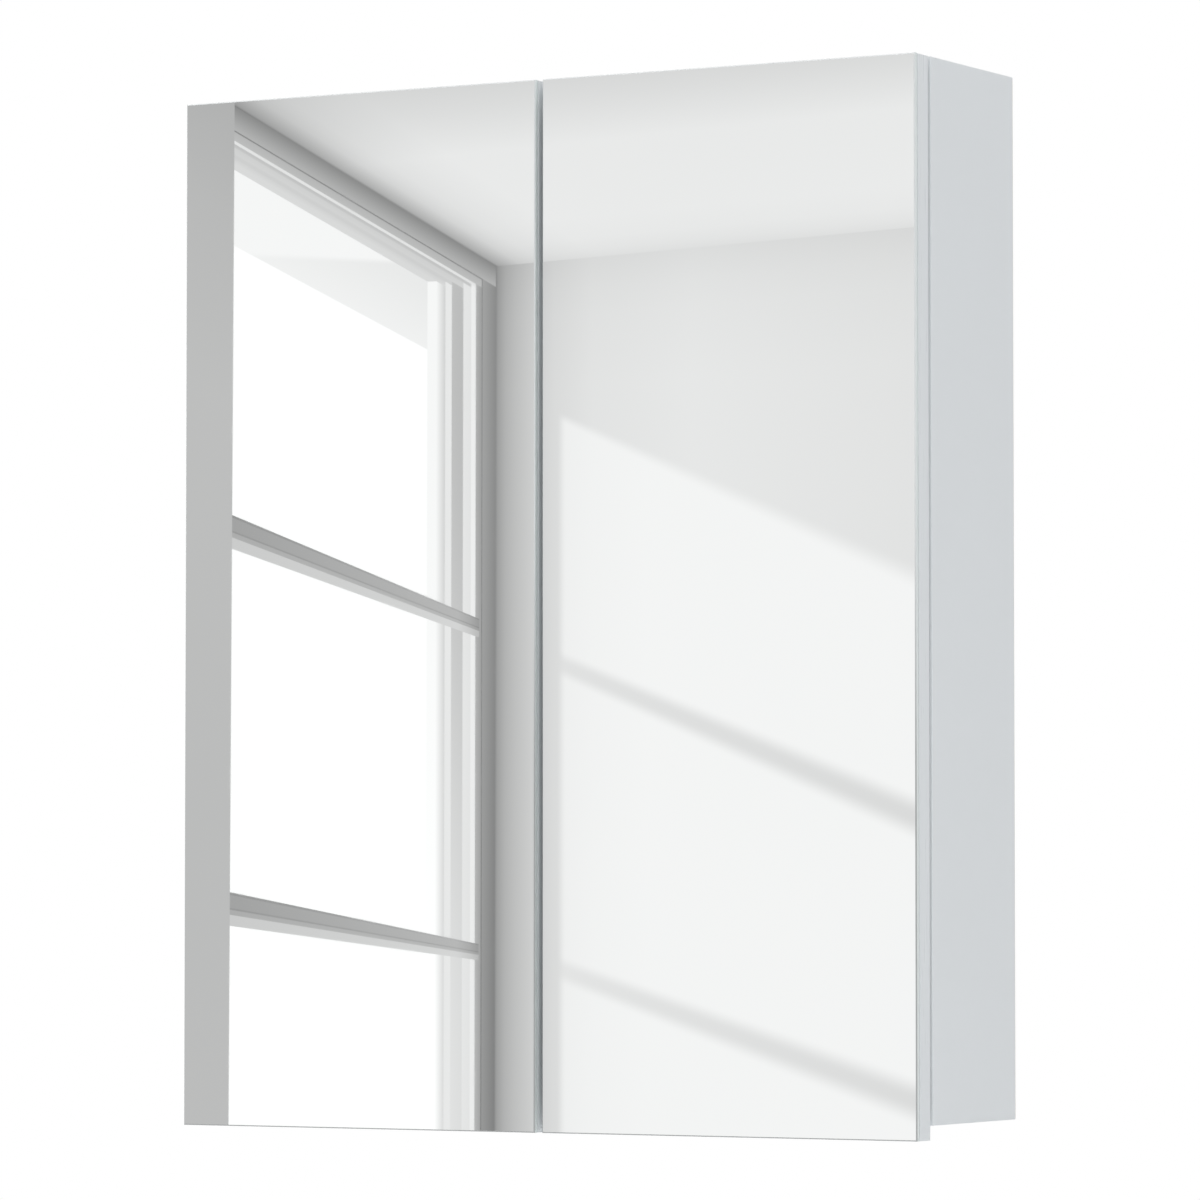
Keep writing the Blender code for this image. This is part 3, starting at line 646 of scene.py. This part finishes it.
def cross_recess(radius, depth, top):
    """Two crossed tapering bars that cut a screwdriver's recess down from the height top."""
    half_width = radius * RECESS_WIDTH
    bars = []
    for turn in (0, 90):
        form = box_form((-radius, -half_width, top - depth), (radius, half_width, top + depth))
        for vert in form.verts:
            if vert.co.z < top:
                vert.co.x *= RECESS_TAPER[0]
                vert.co.y *= RECESS_TAPER[1]
        bmesh.ops.rotate(form, matrix=Matrix.Rotation(math.radians(turn), 3, "Z"), verts=form.verts)
        bars.append(mesh_from("recess", form))
    return bars


def screw_head(name, radius, height):
    """A domed head with a cross recess, standing on z = 0."""
    brim, waist, foot = height * 0.45, height * 0.2, radius * 0.94
    dome = [(radius * math.sin(a), brim + (height - brim) * math.cos(a)) for a in quarter_turn(9)]
    head = lathe(name, [*dome, (radius, waist), (foot, 0), (0, 0)], 40)
    return carved(head, *cross_recess(radius * 0.55, height * 0.75, height))


SCREW_HEADS = {kind: screw_head(f"{kind}_screw_head", *size) for kind, size in SCREW_SIZES.items()}


def screw(name, kind, place, towards, body, slot, turn):
    """A screw's head, set down at a place with its dome facing a direction and its recess turned."""
    obj = new_object(name, SCREW_HEADS[kind].copy(), METAL_OF_SLOT[slot])
    obj.location = place
    aim(obj, towards, turn)
    piece(obj, body, slot)


# ---------------------------------------------------------------- hinges

CUP_SCREW_SPACING = 48 * MM
CUP_SCREW_OFFSET = 8 * MM
FLANGE_RADIUS = 18.7 * MM
PLATE_SCREW_SPACING = 32 * MM
PLATE_SCREW_SEAT = 2.1 * MM
ADJUSTER_SEAT = 0.1 * MM
ADJUSTER_INSETS = {"front": 26 * MM, "rear": 62 * MM}


def side_face(node, side):
    """Where a node ends on the left (-1) or on the right (1)."""
    low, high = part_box(node)
    return high.x if side > 0 else low.x


def hinge(label, side, level):
    """A hinge's cup, arm and plate, each with its two screws. Its pin and spring stay the CAD nodes."""
    node = f"{label}_{level}_hinge"
    refined(f"{node}_cup", NICKEL)
    refined(f"{node}_arm", NICKEL, 3)
    refined(f"{node}_plate", NICKEL, 3)

    cup_low, cup_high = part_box(f"{node}_cup")
    middle_z = (cup_low.z + cup_high.z) / 2
    screw_x = side_face(f"{node}_cup", side) - side * (FLANGE_RADIUS + CUP_SCREW_OFFSET)
    for end, direction, turn in (("low", -1, 20), ("high", 1, 65)):
        place = (screw_x, cup_high.y, middle_z + direction * CUP_SCREW_SPACING / 2)
        screw(f"{node}_cup_screw_{end}", "cup", place, (0, 1, 0), f"{label}_door", "nickel_steel", turn)

    plate_low, plate_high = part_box(f"{node}_plate")
    screw_x = side_face(f"{node}_plate", side) - side * PLATE_SCREW_SEAT
    screw_y = (plate_low.y + plate_high.y) / 2
    for end, direction, turn in (("low", -1, 35), ("high", 1, 80)):
        place = (screw_x, screw_y, middle_z + direction * PLATE_SCREW_SPACING / 2)
        screw(f"{node}_plate_screw_{end}", "plate", place, (-side, 0, 0), CARCASS, "nickel_steel", turn)

    screw_x = side_face(f"{node}_arm", -side) + side * ADJUSTER_SEAT
    arm_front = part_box(f"{node}_arm")[0].y
    for end, turn in (("front", 10), ("rear", 50)):
        place = (screw_x, arm_front + ADJUSTER_INSETS[end], middle_z)
        screw(f"{node}_{end}_adjuster", "adjusting", place, (-side, 0, 0), CARCASS, "nickel_steel", turn)


# ---------------------------------------------------------------- hangers

WELL_INSET = 17 * MM
WELL_RADIUS = 4.2 * MM
WELL_DEPTH = 4 * MM
WELL_SCREW_SEAT = 1.8 * MM
WALL_SCREW_SPACING = 26 * MM
WALL_SCREW_SEAT = 2 * MM
WALL_SCREW_HEIGHT = 20 * MM


def well(mouth):
    """A round cutter that sinks a well backwards from its mouth."""
    form = bmesh.new()
    bmesh.ops.create_cone(
        form, cap_ends=True, segments=40, radius1=WELL_RADIUS, radius2=WELL_RADIUS, depth=2 * WELL_DEPTH
    )
    turn = Matrix.Translation(mouth) @ Matrix.Rotation(math.radians(90), 4, "X")
    bmesh.ops.transform(form, matrix=turn, verts=form.verts)
    return mesh_from("well", form)


def hanger(label, side):
    """A hanger's housing with two screws in wells, its hook, and its wall plate with two screws."""
    housing = f"{label}_hanger_housing"
    low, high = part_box(housing)
    middle_x = (low.x + high.x) / 2
    heights = {"upper": high.z - WELL_INSET, "lower": low.z + WELL_INSET}
    wells = [well((middle_x, low.y, z)) for z in heights.values()]
    shell = softened(carved(node_copy(housing), *wells), ROUNDING["hanger_housing"], 2)
    stand_in(new_object(f"{housing}_fine", shell, WHITE_PLASTIC), housing)
    for end, z in heights.items():
        place = (middle_x, low.y + WELL_SCREW_SEAT, z)
        screw(f"{label}_hanger_{end}_adjuster", "plate", place, (0, -1, 0), CARCASS, "zinc_steel", 30)

    refined(f"{label}_hanger_hook", ZINC)
    plate = f"{label}_wall_plate"
    refined(plate, ZINC)
    low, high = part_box(plate)
    middle_x = (low.x + high.x) / 2
    for end, direction in (("inner", -side), ("outer", side)):
        screw_x = middle_x + direction * WALL_SCREW_SPACING / 2
        place = (screw_x, high.y - WALL_SCREW_SEAT, low.z + WALL_SCREW_HEIGHT)
        turn = 15 * direction
        screw(f"{label}_wall_screw_{end}", "wall", place, (0, -1, 0), BODY_OF_NODE[plate], "zinc_steel", turn)


# ---------------------------------------------------------------- small fittings

# A shelf pin's radii, and its collar's two ends, measured from the foot that is deepest in the panel
PIN_SHANK = 2.2 * MM
PIN_HEAD = 2.4 * MM
PIN_TIP_CHAMFER = 0.5 * MM
PIN_FOOT_CHAMFER = 0.4 * MM
COLLAR = 4 * MM
COLLAR_FOOT = 9 * MM
COLLAR_TOP = 9.9 * MM
COLLAR_CHAMFER = 0.2 * MM
SLEEVE = 3 * MM
SLEEVE_CHAMFER = 0.3 * MM
SLEEVE_GAP = 0.1 * MM


def shelf_pin(node):
    """A turned steel pin with a collar, and a clear sleeve under the glass. It points into the cabinet."""
    low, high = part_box(node)
    side = 1 if low.x > 0 else -1
    length = high.x - low.x
    tip = length - SLEEVE_GAP
    pin = [
        (0, tip),
        (PIN_HEAD - PIN_TIP_CHAMFER, tip),
        (PIN_HEAD, tip - PIN_TIP_CHAMFER),
        (PIN_HEAD, COLLAR_TOP),
        (COLLAR - COLLAR_CHAMFER, COLLAR_TOP),
        (COLLAR, COLLAR_TOP - COLLAR_CHAMFER),
        (COLLAR, COLLAR_FOOT + COLLAR_CHAMFER),
        (COLLAR - COLLAR_CHAMFER, COLLAR_FOOT),
        (PIN_SHANK, COLLAR_FOOT),
        (PIN_SHANK, PIN_FOOT_CHAMFER),
        (PIN_SHANK - PIN_FOOT_CHAMFER, 0),
        (0, 0),
    ]
    foot = COLLAR_TOP + SLEEVE_GAP
    sleeve = [
        (PIN_HEAD, length),
        (SLEEVE - SLEEVE_CHAMFER, length),
        (SLEEVE, length - SLEEVE_CHAMFER),
        (SLEEVE, foot + COLLAR_CHAMFER),
        (SLEEVE - COLLAR_CHAMFER, foot),
        (PIN_HEAD, foot),
        (PIN_HEAD, length),
    ]
    middle = (low + high) / 2
    for part, profile, material, slot, replaced in (
        ("pin", pin, ZINC, "zinc_steel", [node]),
        ("sleeve", sleeve, PIN_SLEEVE, "clear_rubber", []),
    ):
        obj = new_object(f"{node}_{part}", lathe(f"{node}_{part}", profile, 32), material)
        obj.location = (side_face(node, side), middle.y, middle.z)
        aim(obj, (-side, 0, 0))
        piece(obj, CARCASS, slot, *replaced)


def bumper(node):
    """A clear dome that cushions the door against the carcass."""
    low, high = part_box(node)
    radius, height = (high.x - low.x) / 2, high.y - low.y
    flat = radius * 0.35
    dome = [(flat + (radius - flat) * math.sin(a), height * math.cos(a)) for a in quarter_turn(10)]
    obj = new_object(f"{node}_dome", lathe(node, [(0, height), *dome, (0, 0)], 40), BUMPER_RUBBER)
    obj.location = ((low.x + high.x) / 2, low.y, (low.z + high.z) / 2)
    aim(obj, (0, 1, 0))
    stand_in(obj, node)


# ---------------------------------------------------------------- the cabinet

for side_name, side_sign in SIDES.items():
    banded_board(f"{side_name}_side_panel", MELAMINE_RAW, ("-y", "-z", "+z"))
    banded_board(f"{side_name}_door_board", MELAMINE, ("-x", "+x", "-z", "+z"))
    mirror(f"{side_name}_mirror")
    for level_name in LEVELS:
        hinge(side_name, side_sign, level_name)
        bumper(f"{side_name}_{level_name}_bumper")
    hanger(side_name, side_sign)
for panel_name in ("top_panel", "bottom_panel"):
    banded_board(panel_name, MELAMINE_RAW, ("-y",))
refined("back_panel", HARDBOARD, 1)
for level_name in LEVELS:
    glass_shelf(f"{level_name}_glass_shelf")
for node_name in BODY_OF_NODE:
    if "shelf_pin" in node_name:
        shelf_pin(node_name)
    elif node_name.endswith("cam_lock"):
        refined(node_name, ZINC)

# The nodes that are shown as CAD made them, by the end of their names
CAD_MATERIALS = {"cam_bolt": ZINC, "hinge_pin": NICKEL, "hinge_spring": SPRING_STEEL, "adhesive": GLUE}
for node_name, node_object in frame["nodes"].items():
    for ending, cad_material in CAD_MATERIALS.items():
        if node_name.endswith(ending):
            node_object.data.materials.clear()
            node_object.data.materials.append(cad_material)

# ---------------------------------------------------------------- camera

# Found by fitting a camera to the cabinet's corners in the photograph
CAMERA_PLACE = Vector((2.219, -4.007, -0.562))
CAMERA_AZIMUTH = math.radians(29.38)
CAMERA_PITCH = math.radians(2.55)
CAMERA_LENS = 187.7

camera_data = bpy.data.cameras.new("camera")
camera_data.lens = CAMERA_LENS
camera = bpy.data.objects.new("camera", camera_data)
camera.location = CAMERA_PLACE
camera.rotation_euler = (math.radians(90) + CAMERA_PITCH, 0, CAMERA_AZIMUTH)
bpy.context.scene.collection.objects.link(camera)
bpy.context.scene.camera = camera

# ---------------------------------------------------------------- the room in the mirrors

# The corner of a bright room, made of cards that only reflections show. The cards glow, and the room's light
# and shade, its dark corner, the sun's patch and the bars' shadows, are painted into that glow. It stands
# where the camera's view lands after it bounces off the doors, so it is laid out as if it stood behind them
# and then
# flipped. Each wall has its own frame: along the wall from the room's corner, across the wall, and up. The
# room is on the positive side of the window wall and on the negative side of the far wall.
MIRROR_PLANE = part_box("right_mirror")[0].y
FLIP = (
    Matrix.Translation((0, MIRROR_PLANE, 0))
    @ Matrix.Scale(-1, 4, (0, 1, 0))
    @ Matrix.Translation((0, -MIRROR_PLANE, 0))
)
ROOM_TILT = math.radians(-3.3)
ROOM = (
    FLIP
    @ Matrix.Translation(CAMERA_PLACE)
    @ Matrix.Rotation(CAMERA_AZIMUTH, 4, "Z")
    @ Matrix.Rotation(ROOM_TILT, 4, "X")
)
# The room's corner: how far to the camera's right and how far ahead of it
CORNER = Matrix.Translation((-0.1152, 7.0, 0))
WINDOW_WALL_TURN = math.radians(256.7)
FAR_WALL_TURN = math.radians(-30.9)
WINDOW_WALL = ROOM @ CORNER @ Matrix.Rotation(WINDOW_WALL_TURN, 4, "Z")
FAR_WALL = ROOM @ CORNER @ Matrix.Rotation(FAR_WALL_TURN, 4, "Z")
CEILING = 1.095
CEILING_THICKNESS = 0.01
WINDOW_END = 1.6
WINDOW_LOW = -1.2
FAR_WALL_END = 5.0
FAR_WALL_LOW = -1.5
CEILING_REACH = 2.6
BEHIND_WINDOW = -0.5
BLIND_FOOT = 0.965
# The slanting line on the blind: how it falls along the wall, and its soft edge's heights at the corner
BLIND_LINE_FALL = 0.142
BLIND_LINE = (1.094, 1.102)
PIER_ENDS = (1.073, 1.8)
PIER_TOP = 1.6
# Where each layer begins and ends across its wall
PANE_LAYER = (-0.02, -0.012)
WALL_LAYER = (-0.01, 0)
BAR_LAYER = (0.001, 0.003)
PIER_LAYER = (0.004, 0.01)

# The window's frame steps down from the room's corner to the glass. Each step gives where it ends along the
# wall, the height where it ends under the ceiling, the light across it on the upright, by how much that
# changes further down, and the light across it on the head.
FRAME_STEPS = (
    ("trim", 0.070, 1.0715, (134, 162), -10, (138, 179)),
    ("groove", 0.074, 1.0700, (136, 138), -14, (134, 138)),
    ("stop", 0.100, 1.0612, (158, 176), 6, (181, 188)),
    ("bead", 0.121, 1.0580, (236, 238), -2, (228, 226)),
    ("sash", 0.156, 1.0545, (226, 229), 0, (190, 198)),
    ("rebate", 0.206, 1.0480, (186, 190), 34, (206, 210)),
    ("sash_bead", 0.234, 1.0440, (232, 231), 0, (206, 205)),
    ("glazing_bead", 0.2725, 1.0385, (206, 246), 10, (208, 216)),
)
# The heights between which an upright's light makes that change
UPRIGHT_FADE = (0.95, 0.15)
# A glazing bar's strips from its foot to its top, and their light towards the corner and away from it
BAR_STRIPS = (
    ("foot", 0.0000, 0.0080, 212, 202),
    ("bead", 0.0080, 0.0105, 212, 202),
    ("lower_face", 0.0105, 0.0155, 184, 172),
    ("groove", 0.0155, 0.0172, 164, 151),
    ("face", 0.0172, 0.0300, 182, 162),
    ("top", 0.0300, 0.0325, 172, 148),
)
# Each bar's foot height, how far its foot rises towards the corner, and what part of its height is left there
BARS = {"upper": (0.6625, 0.004, 0.62), "lower": (0.2995, 0.009, 0.54)}
BAR_ENDS = (0.0945, 1.09)
# Where the corner's shade lies on a bar and by how many levels, and where the bar has its other light
BAR_SHADE = ((0.095, 28), (0.135, 12), (0.19, 0))
BAR_NEAR = 1.04
# The sun's patch on the far wall: where it starts along the wall, and its top and how soft that is, each as
# its value at the corner and its slope
SUN_START = (0.0835, 0.0965)
SUN_TOP = (0.9583, -0.457)
SUN_SOFTNESS = (0.0046, 0.022)
# Each bar's shadow in it: its height at the corner, its slope, and its light at its start and at its end
BAR_SHADOWS = ((0.6766, -0.4163, 224, 217), (0.3295, -0.3389, 227, 218))
SHADOW_ENDS = (0.09, 0.53)
# How far from its middle a shadow is at its darkest, and how far from it it ends at the corner and the slope
# of that
SHADOW_CORE = 0.002
SHADOW_REACH = (0.015, 0.025)
# Makes up for what the mirrors and their glass take from the light
SHINE_STRENGTH = 1.05


def grey(level):
    """Linear light for a display level from 0 to 255."""
    part = level / 255
    return part / 12.92 if part <= 0.04045 else ((part + 0.055) / 1.055) ** 2.4


class Shine(Surface):
    """The material of a card that shines by itself, white unless its levels from 0 to 255 are given."""

    def __init__(self, name):
        self.material = bpy.data.materials.new(name)
        self.material.use_nodes = True
        self.tree = self.material.node_tree
        self.tree.nodes.clear()
        self.shader = self.node("ShaderNodeEmission", Strength=SHINE_STRENGTH)
        output = self.node("ShaderNodeOutputMaterial")
        self.tree.links.new(self.shader.outputs[0], output.inputs[0])
        self.place = self.node("ShaderNodeTexCoord").outputs["Object"]
        self.set("Color", (1, 1, 1, 1))

    def levels(self, value, *stops):
        """The light along a value: stops are (value, level), in rising order."""
        first, span = stops[0][0], stops[-1][0] - stops[0][0]
        share = self.maths("MULTIPLY_ADD", value, 1 / span, -first / span)
        return self.ramp(share, *(((at - first) / span, (grey(level),) * 3) for at, level in stops))

    def straight(self, along, at_corner, slope):
        """A value that changes evenly along a wall from what it is at the room's corner."""
        return self.maths("MULTIPLY_ADD", along, slope, at_corner)

    def mixed(self, factor, first, second):
        return self.maths("MULTIPLY_ADD", self.maths("SUBTRACT", second, first), factor, first)


def graded(name, axis, *stops):
    """A card's material whose light changes along one axis of the wall's frame."""
    shine = Shine(name)
    shine.feed("Color", shine.levels(shine.axis(axis), *stops))
    return shine.material


def upright_shine(name, first, last, change):
    """Light across an upright of the frame, which changes by some levels further down."""
    shine = Shine(name)
    upper, lower = [
        shine.levels(shine.axis(0), (first[0], first[1] + more), (last[0], last[1] + more))
        for more in (0, change)
    ]
    shine.feed("Color", shine.mixed(shine.fade(shine.axis(2), *UPRIGHT_FADE), upper, lower))
    return shine.material


def blind_shine():
    """A roller blind: a pale band above a slanting line, and a darker one that fades out below it."""
    shine = Shine("blind")
    height = shine.axis(2)
    over_line = shine.straight(shine.axis(0), height, BLIND_LINE_FALL)
    below = shine.levels(height, (BLIND_FOOT, 240), (1.03, 233))
    shine.feed("Color", shine.mixed(shine.fade(over_line, *BLIND_LINE), below, grey(245)))
    return shine.material


def card(name, wall, along, out, up, material):
    """A thin box that only reflections show, from its two ends on each axis of a wall's frame."""
    obj = new_object(name, mesh_from(name, box_form(*zip(along, out, up))), material)
    obj.matrix_world = wall
    obj.visible_camera = False
    obj.visible_diffuse = False
    obj.visible_shadow = False
    obj.visible_volume_scatter = False
    return obj


def taper(mesh, foot, rise, part):
    """Raises the end of a bar's strip that is in the corner, and draws it in towards the bar's foot."""
    for vert in mesh.vertices:
        if vert.co.x < sum(BAR_ENDS) / 2:
            vert.co.z = foot + rise + (vert.co.z - foot) * part


def window():
    """The window's frame, its two glazing bars, the daylight and blind behind them, and the pier in front."""
    start, top = 0.0, CEILING
    for name, end, bottom, upright, change, head in FRAME_STEPS:
        shade = upright_shine(f"{name}_upright", (start, upright[0]), (end, upright[1]), change)
        card(f"window_{name}_upright", WINDOW_WALL, (start, end), WALL_LAYER, (WINDOW_LOW, bottom), shade)
        shade = graded(f"{name}_head", 2, (bottom, head[1]), (top, head[0]))
        card(f"window_{name}_head", WINDOW_WALL, (start, WINDOW_END), WALL_LAYER, (bottom, top), shade)
        start, top = end, bottom
    for bar, (foot, rise, part) in BARS.items():
        for name, low, high, far_level, near_level in BAR_STRIPS:
            in_corner = [(at, far_level - darker) for at, darker in BAR_SHADE]
            shade = graded(f"bar_{name}", 0, *in_corner, (BAR_NEAR, near_level))
            height = (foot + low, foot + high)
            strip = card(f"window_{bar}_bar_{name}", WINDOW_WALL, BAR_ENDS, BAR_LAYER, height, shade)
            taper(strip.data, foot, rise, part)
    width = (0, WINDOW_END)
    card("daylight", WINDOW_WALL, width, PANE_LAYER, (WINDOW_LOW, BLIND_FOOT), Shine("sky").material)
    card("blind", WINDOW_WALL, width, PANE_LAYER, (BLIND_FOOT, CEILING), blind_shine())
    pier = graded("pier", 2, (0.45, 187), (0.8, 189), (0.98, 184), (1.1, 176))
    card("pier", WINDOW_WALL, PIER_ENDS, PIER_LAYER, (WINDOW_LOW, PIER_TOP), pier)


def far_wall_shine():
    """A wall in soft shade, with the sun's patch on it and the shadows of the two glazing bars."""
    shine = Shine("far_wall")
    along, height = shine.axis(0), shine.axis(2)
    near_corner = ((0, 112), (0.006, 158), (0.016, 177), (0.03, 190), (0.053, 205), (0.08, 217))
    beside_window = shine.levels(along, *near_corner, (0.13, 226), (0.26, 230), (0.53, 225))
    under_ceiling = shine.levels(height, (0.95, 255), (1.03, 252), (1.06, 249), (1.095, 243))
    wall = shine.maths("MULTIPLY", beside_window, under_ceiling)
    sunlit = shine.levels(along, (0.09, 238), (0.13, 241), (0.2, 243))
    for at_corner, slope, first_level, last_level in BAR_SHADOWS:
        middle = shine.straight(along, at_corner, slope)
        distance = shine.maths("ABSOLUTE", shine.maths("SUBTRACT", height, middle))
        reach = shine.straight(along, *SHADOW_REACH)
        shadow = shine.levels(along, (SHADOW_ENDS[0], first_level), (SHADOW_ENDS[1], last_level))
        sunlit = shine.mixed(shine.fade(distance, reach, SHADOW_CORE), sunlit, shadow)
    edge = shine.straight(along, *SUN_TOP)
    softness = shine.straight(along, *SUN_SOFTNESS)
    below = shine.fade(height, shine.maths("ADD", edge, softness), shine.maths("SUBTRACT", edge, softness))
    in_sun = shine.maths("MULTIPLY", below, shine.fade(along, *SUN_START))
    shine.feed("Color", shine.mixed(in_sun, wall, sunlit))
    return shine.material


def ceiling_shine():
    """A ceiling with painted shade that darkens it towards the viewer and towards both walls."""
    shine = Shine("ceiling")
    from_far_wall = shine.maths("MULTIPLY", shine.axis(1), -1)
    open_ceiling = shine.levels(
        from_far_wall, (0, 221), (0.06, 227), (0.13, 231), (0.25, 233), (0.65, 232), (0.86, 219), (1, 211)
    )
    into_room = (FAR_WALL.inverted() @ WINDOW_WALL).to_3x3() @ Vector((0, 1, 0))
    made = shine.node("ShaderNodeVectorMath", Vector=shine.place)
    made.operation = "DOT_PRODUCT"
    made.inputs[1].default_value = into_room
    near_window = ((0, 150), (0.004, 190), (0.018, 213), (0.031, 232), (0.044, 240))
    beside_window = shine.levels(made.outputs["Value"], *near_window, (0.058, 246), (0.09, 251), (0.13, 255))
    shine.feed("Color", shine.maths("MULTIPLY", open_ceiling, beside_window))
    return shine.material


def room():
    """The window wall, the far wall beside it and the ceiling over both."""
    window()
    card("far_wall", FAR_WALL, (0, FAR_WALL_END), WALL_LAYER, (FAR_WALL_LOW, CEILING), far_wall_shine())
    along, out = (BEHIND_WINDOW, FAR_WALL_END), (-CEILING_REACH, 0)
    card("ceiling", FAR_WALL, along, out, (CEILING, CEILING + CEILING_THICKNESS), ceiling_shine())


room()

# ---------------------------------------------------------------- studio


def softbox(name, place, target, size, power, tint=(1, 1, 1), in_gloss=False):
    """A rectangular area light that points at a target and can stay out of reflections."""
    data = bpy.data.lights.new(name, "AREA")
    data.shape = "RECTANGLE"
    data.size, data.size_y = size
    data.energy = power
    data.color = tint
    light = bpy.data.objects.new(name, data)
    light.location = place
    light.rotation_mode = "QUATERNION"
    light.rotation_quaternion = (Vector(target) - Vector(place)).to_track_quat("-Z", "Y")
    light.visible_glossy = in_gloss
    bpy.context.scene.collection.objects.link(light)


COOL = (0.94, 0.98, 1.0)
SIDE_TARGET = (0.3, -0.07, -0.5)
TARGET = (0, 0, -0.4)
softbox("side_light", (1.6, -1.3, -0.95), SIDE_TARGET, (0.9, 0.9), 2.6, COOL)
softbox("front_light", (2.2, -3.6, 1.0), TARGET, (1.8, 1.6), 30)
softbox("left_light", (-2.8, -2.2, 0.8), TARGET, (2.0, 1.6), 34)
softbox("top_light", (0.6, 0.8, 2.6), (0, 0, -0.2), (2.2, 2.2), 40, in_gloss=True)

FLOOR_DROP = 0.9
FLOOR_RADIUS = 6.0
FLOOR_EDGE = FLOOR_RADIUS * 0.97
FLOOR_FADES_FROM = FLOOR_RADIUS * 0.25


def pale_floor():
    """A round pale floor that fades out into the white around it and hides nothing from below."""
    form = bmesh.new()
    bmesh.ops.create_circle(form, cap_ends=True, segments=96, radius=FLOOR_RADIUS)
    surface = Surface("floor_paint", (0.88, 0.88, 0.88), 0.7)
    surface.feed("Base Color", surface.blend(surface.noise(1.5, 4), (0.87, 0.87, 0.87), (0.90, 0.90, 0.90)))
    distance = surface.node("ShaderNodeVectorMath", Vector=surface.place)
    distance.operation = "LENGTH"
    solid = surface.fade(distance.outputs["Value"], FLOOR_EDGE, FLOOR_FADES_FROM)
    from_below = surface.node("ShaderNodeNewGeometry").outputs["Backfacing"]
    seen_from_above = surface.maths("SUBTRACT", 1, from_below)
    surface.feed("Alpha", surface.maths("MULTIPLY", solid, seen_from_above))
    surface.bump(surface.noise(120, 3), 0.1, 0.2 * MM)
    obj = new_object("floor", mesh_from("floor", form), surface.material)
    obj.location = (0, 0, CAD_BOX[0].z - FLOOR_DROP)


# Each dome has one colour up to this part of its height, and fades to the other one at its top
DOME_FOOT = 0.45
LIGHTING_DOME = ((0.50, 0.51, 0.52), (0.62, 0.62, 0.62))
GLOSS_DOME = ((0.66, 0.67, 0.68), (0.92, 0.92, 0.92))


def world():
    """White behind the object, a soft grey dome that lights it, and a brighter one for its gloss."""
    made = bpy.data.worlds.new("studio")
    bpy.context.scene.world = made
    made.use_nodes = True
    tree = made.node_tree
    place = tree.nodes.new("ShaderNodeTexCoord")
    height = tree.nodes.new("ShaderNodeSeparateXYZ")
    tree.links.new(place.outputs["Generated"], height.inputs[0])
    share = tree.nodes.new("ShaderNodeMapRange")
    share.inputs["From Min"].default_value = -1
    tree.links.new(height.outputs["Z"], share.inputs["Value"])
    shaders = []
    for low, high in (LIGHTING_DOME, GLOSS_DOME):
        ramp = tree.nodes.new("ShaderNodeValToRGB")
        ramp.color_ramp.elements[0].position = DOME_FOOT
        ramp.color_ramp.elements[0].color = (*low, 1)
        ramp.color_ramp.elements[1].color = (*high, 1)
        dome = tree.nodes.new("ShaderNodeBackground")
        tree.links.new(share.outputs[0], ramp.inputs["Fac"])
        tree.links.new(ramp.outputs["Color"], dome.inputs["Color"])
        shaders.append(dome.outputs[0])
    backdrop = tree.nodes["Background"]
    backdrop.inputs["Color"].default_value = (1, 1, 1, 1)
    path = tree.nodes.new("ShaderNodeLightPath")
    seen = shaders[0]
    for ray, shader in (("Is Glossy Ray", shaders[1]), ("Is Camera Ray", backdrop.outputs[0])):
        mix = tree.nodes.new("ShaderNodeMixShader")
        tree.links.new(path.outputs[ray], mix.inputs["Fac"])
        tree.links.new(seen, mix.inputs[1])
        tree.links.new(shader, mix.inputs[2])
        seen = mix.outputs[0]
    tree.links.new(seen, tree.nodes["World Output"].inputs["Surface"])


pale_floor()
world()
bpy.context.scene.view_settings.view_transform = "Standard"
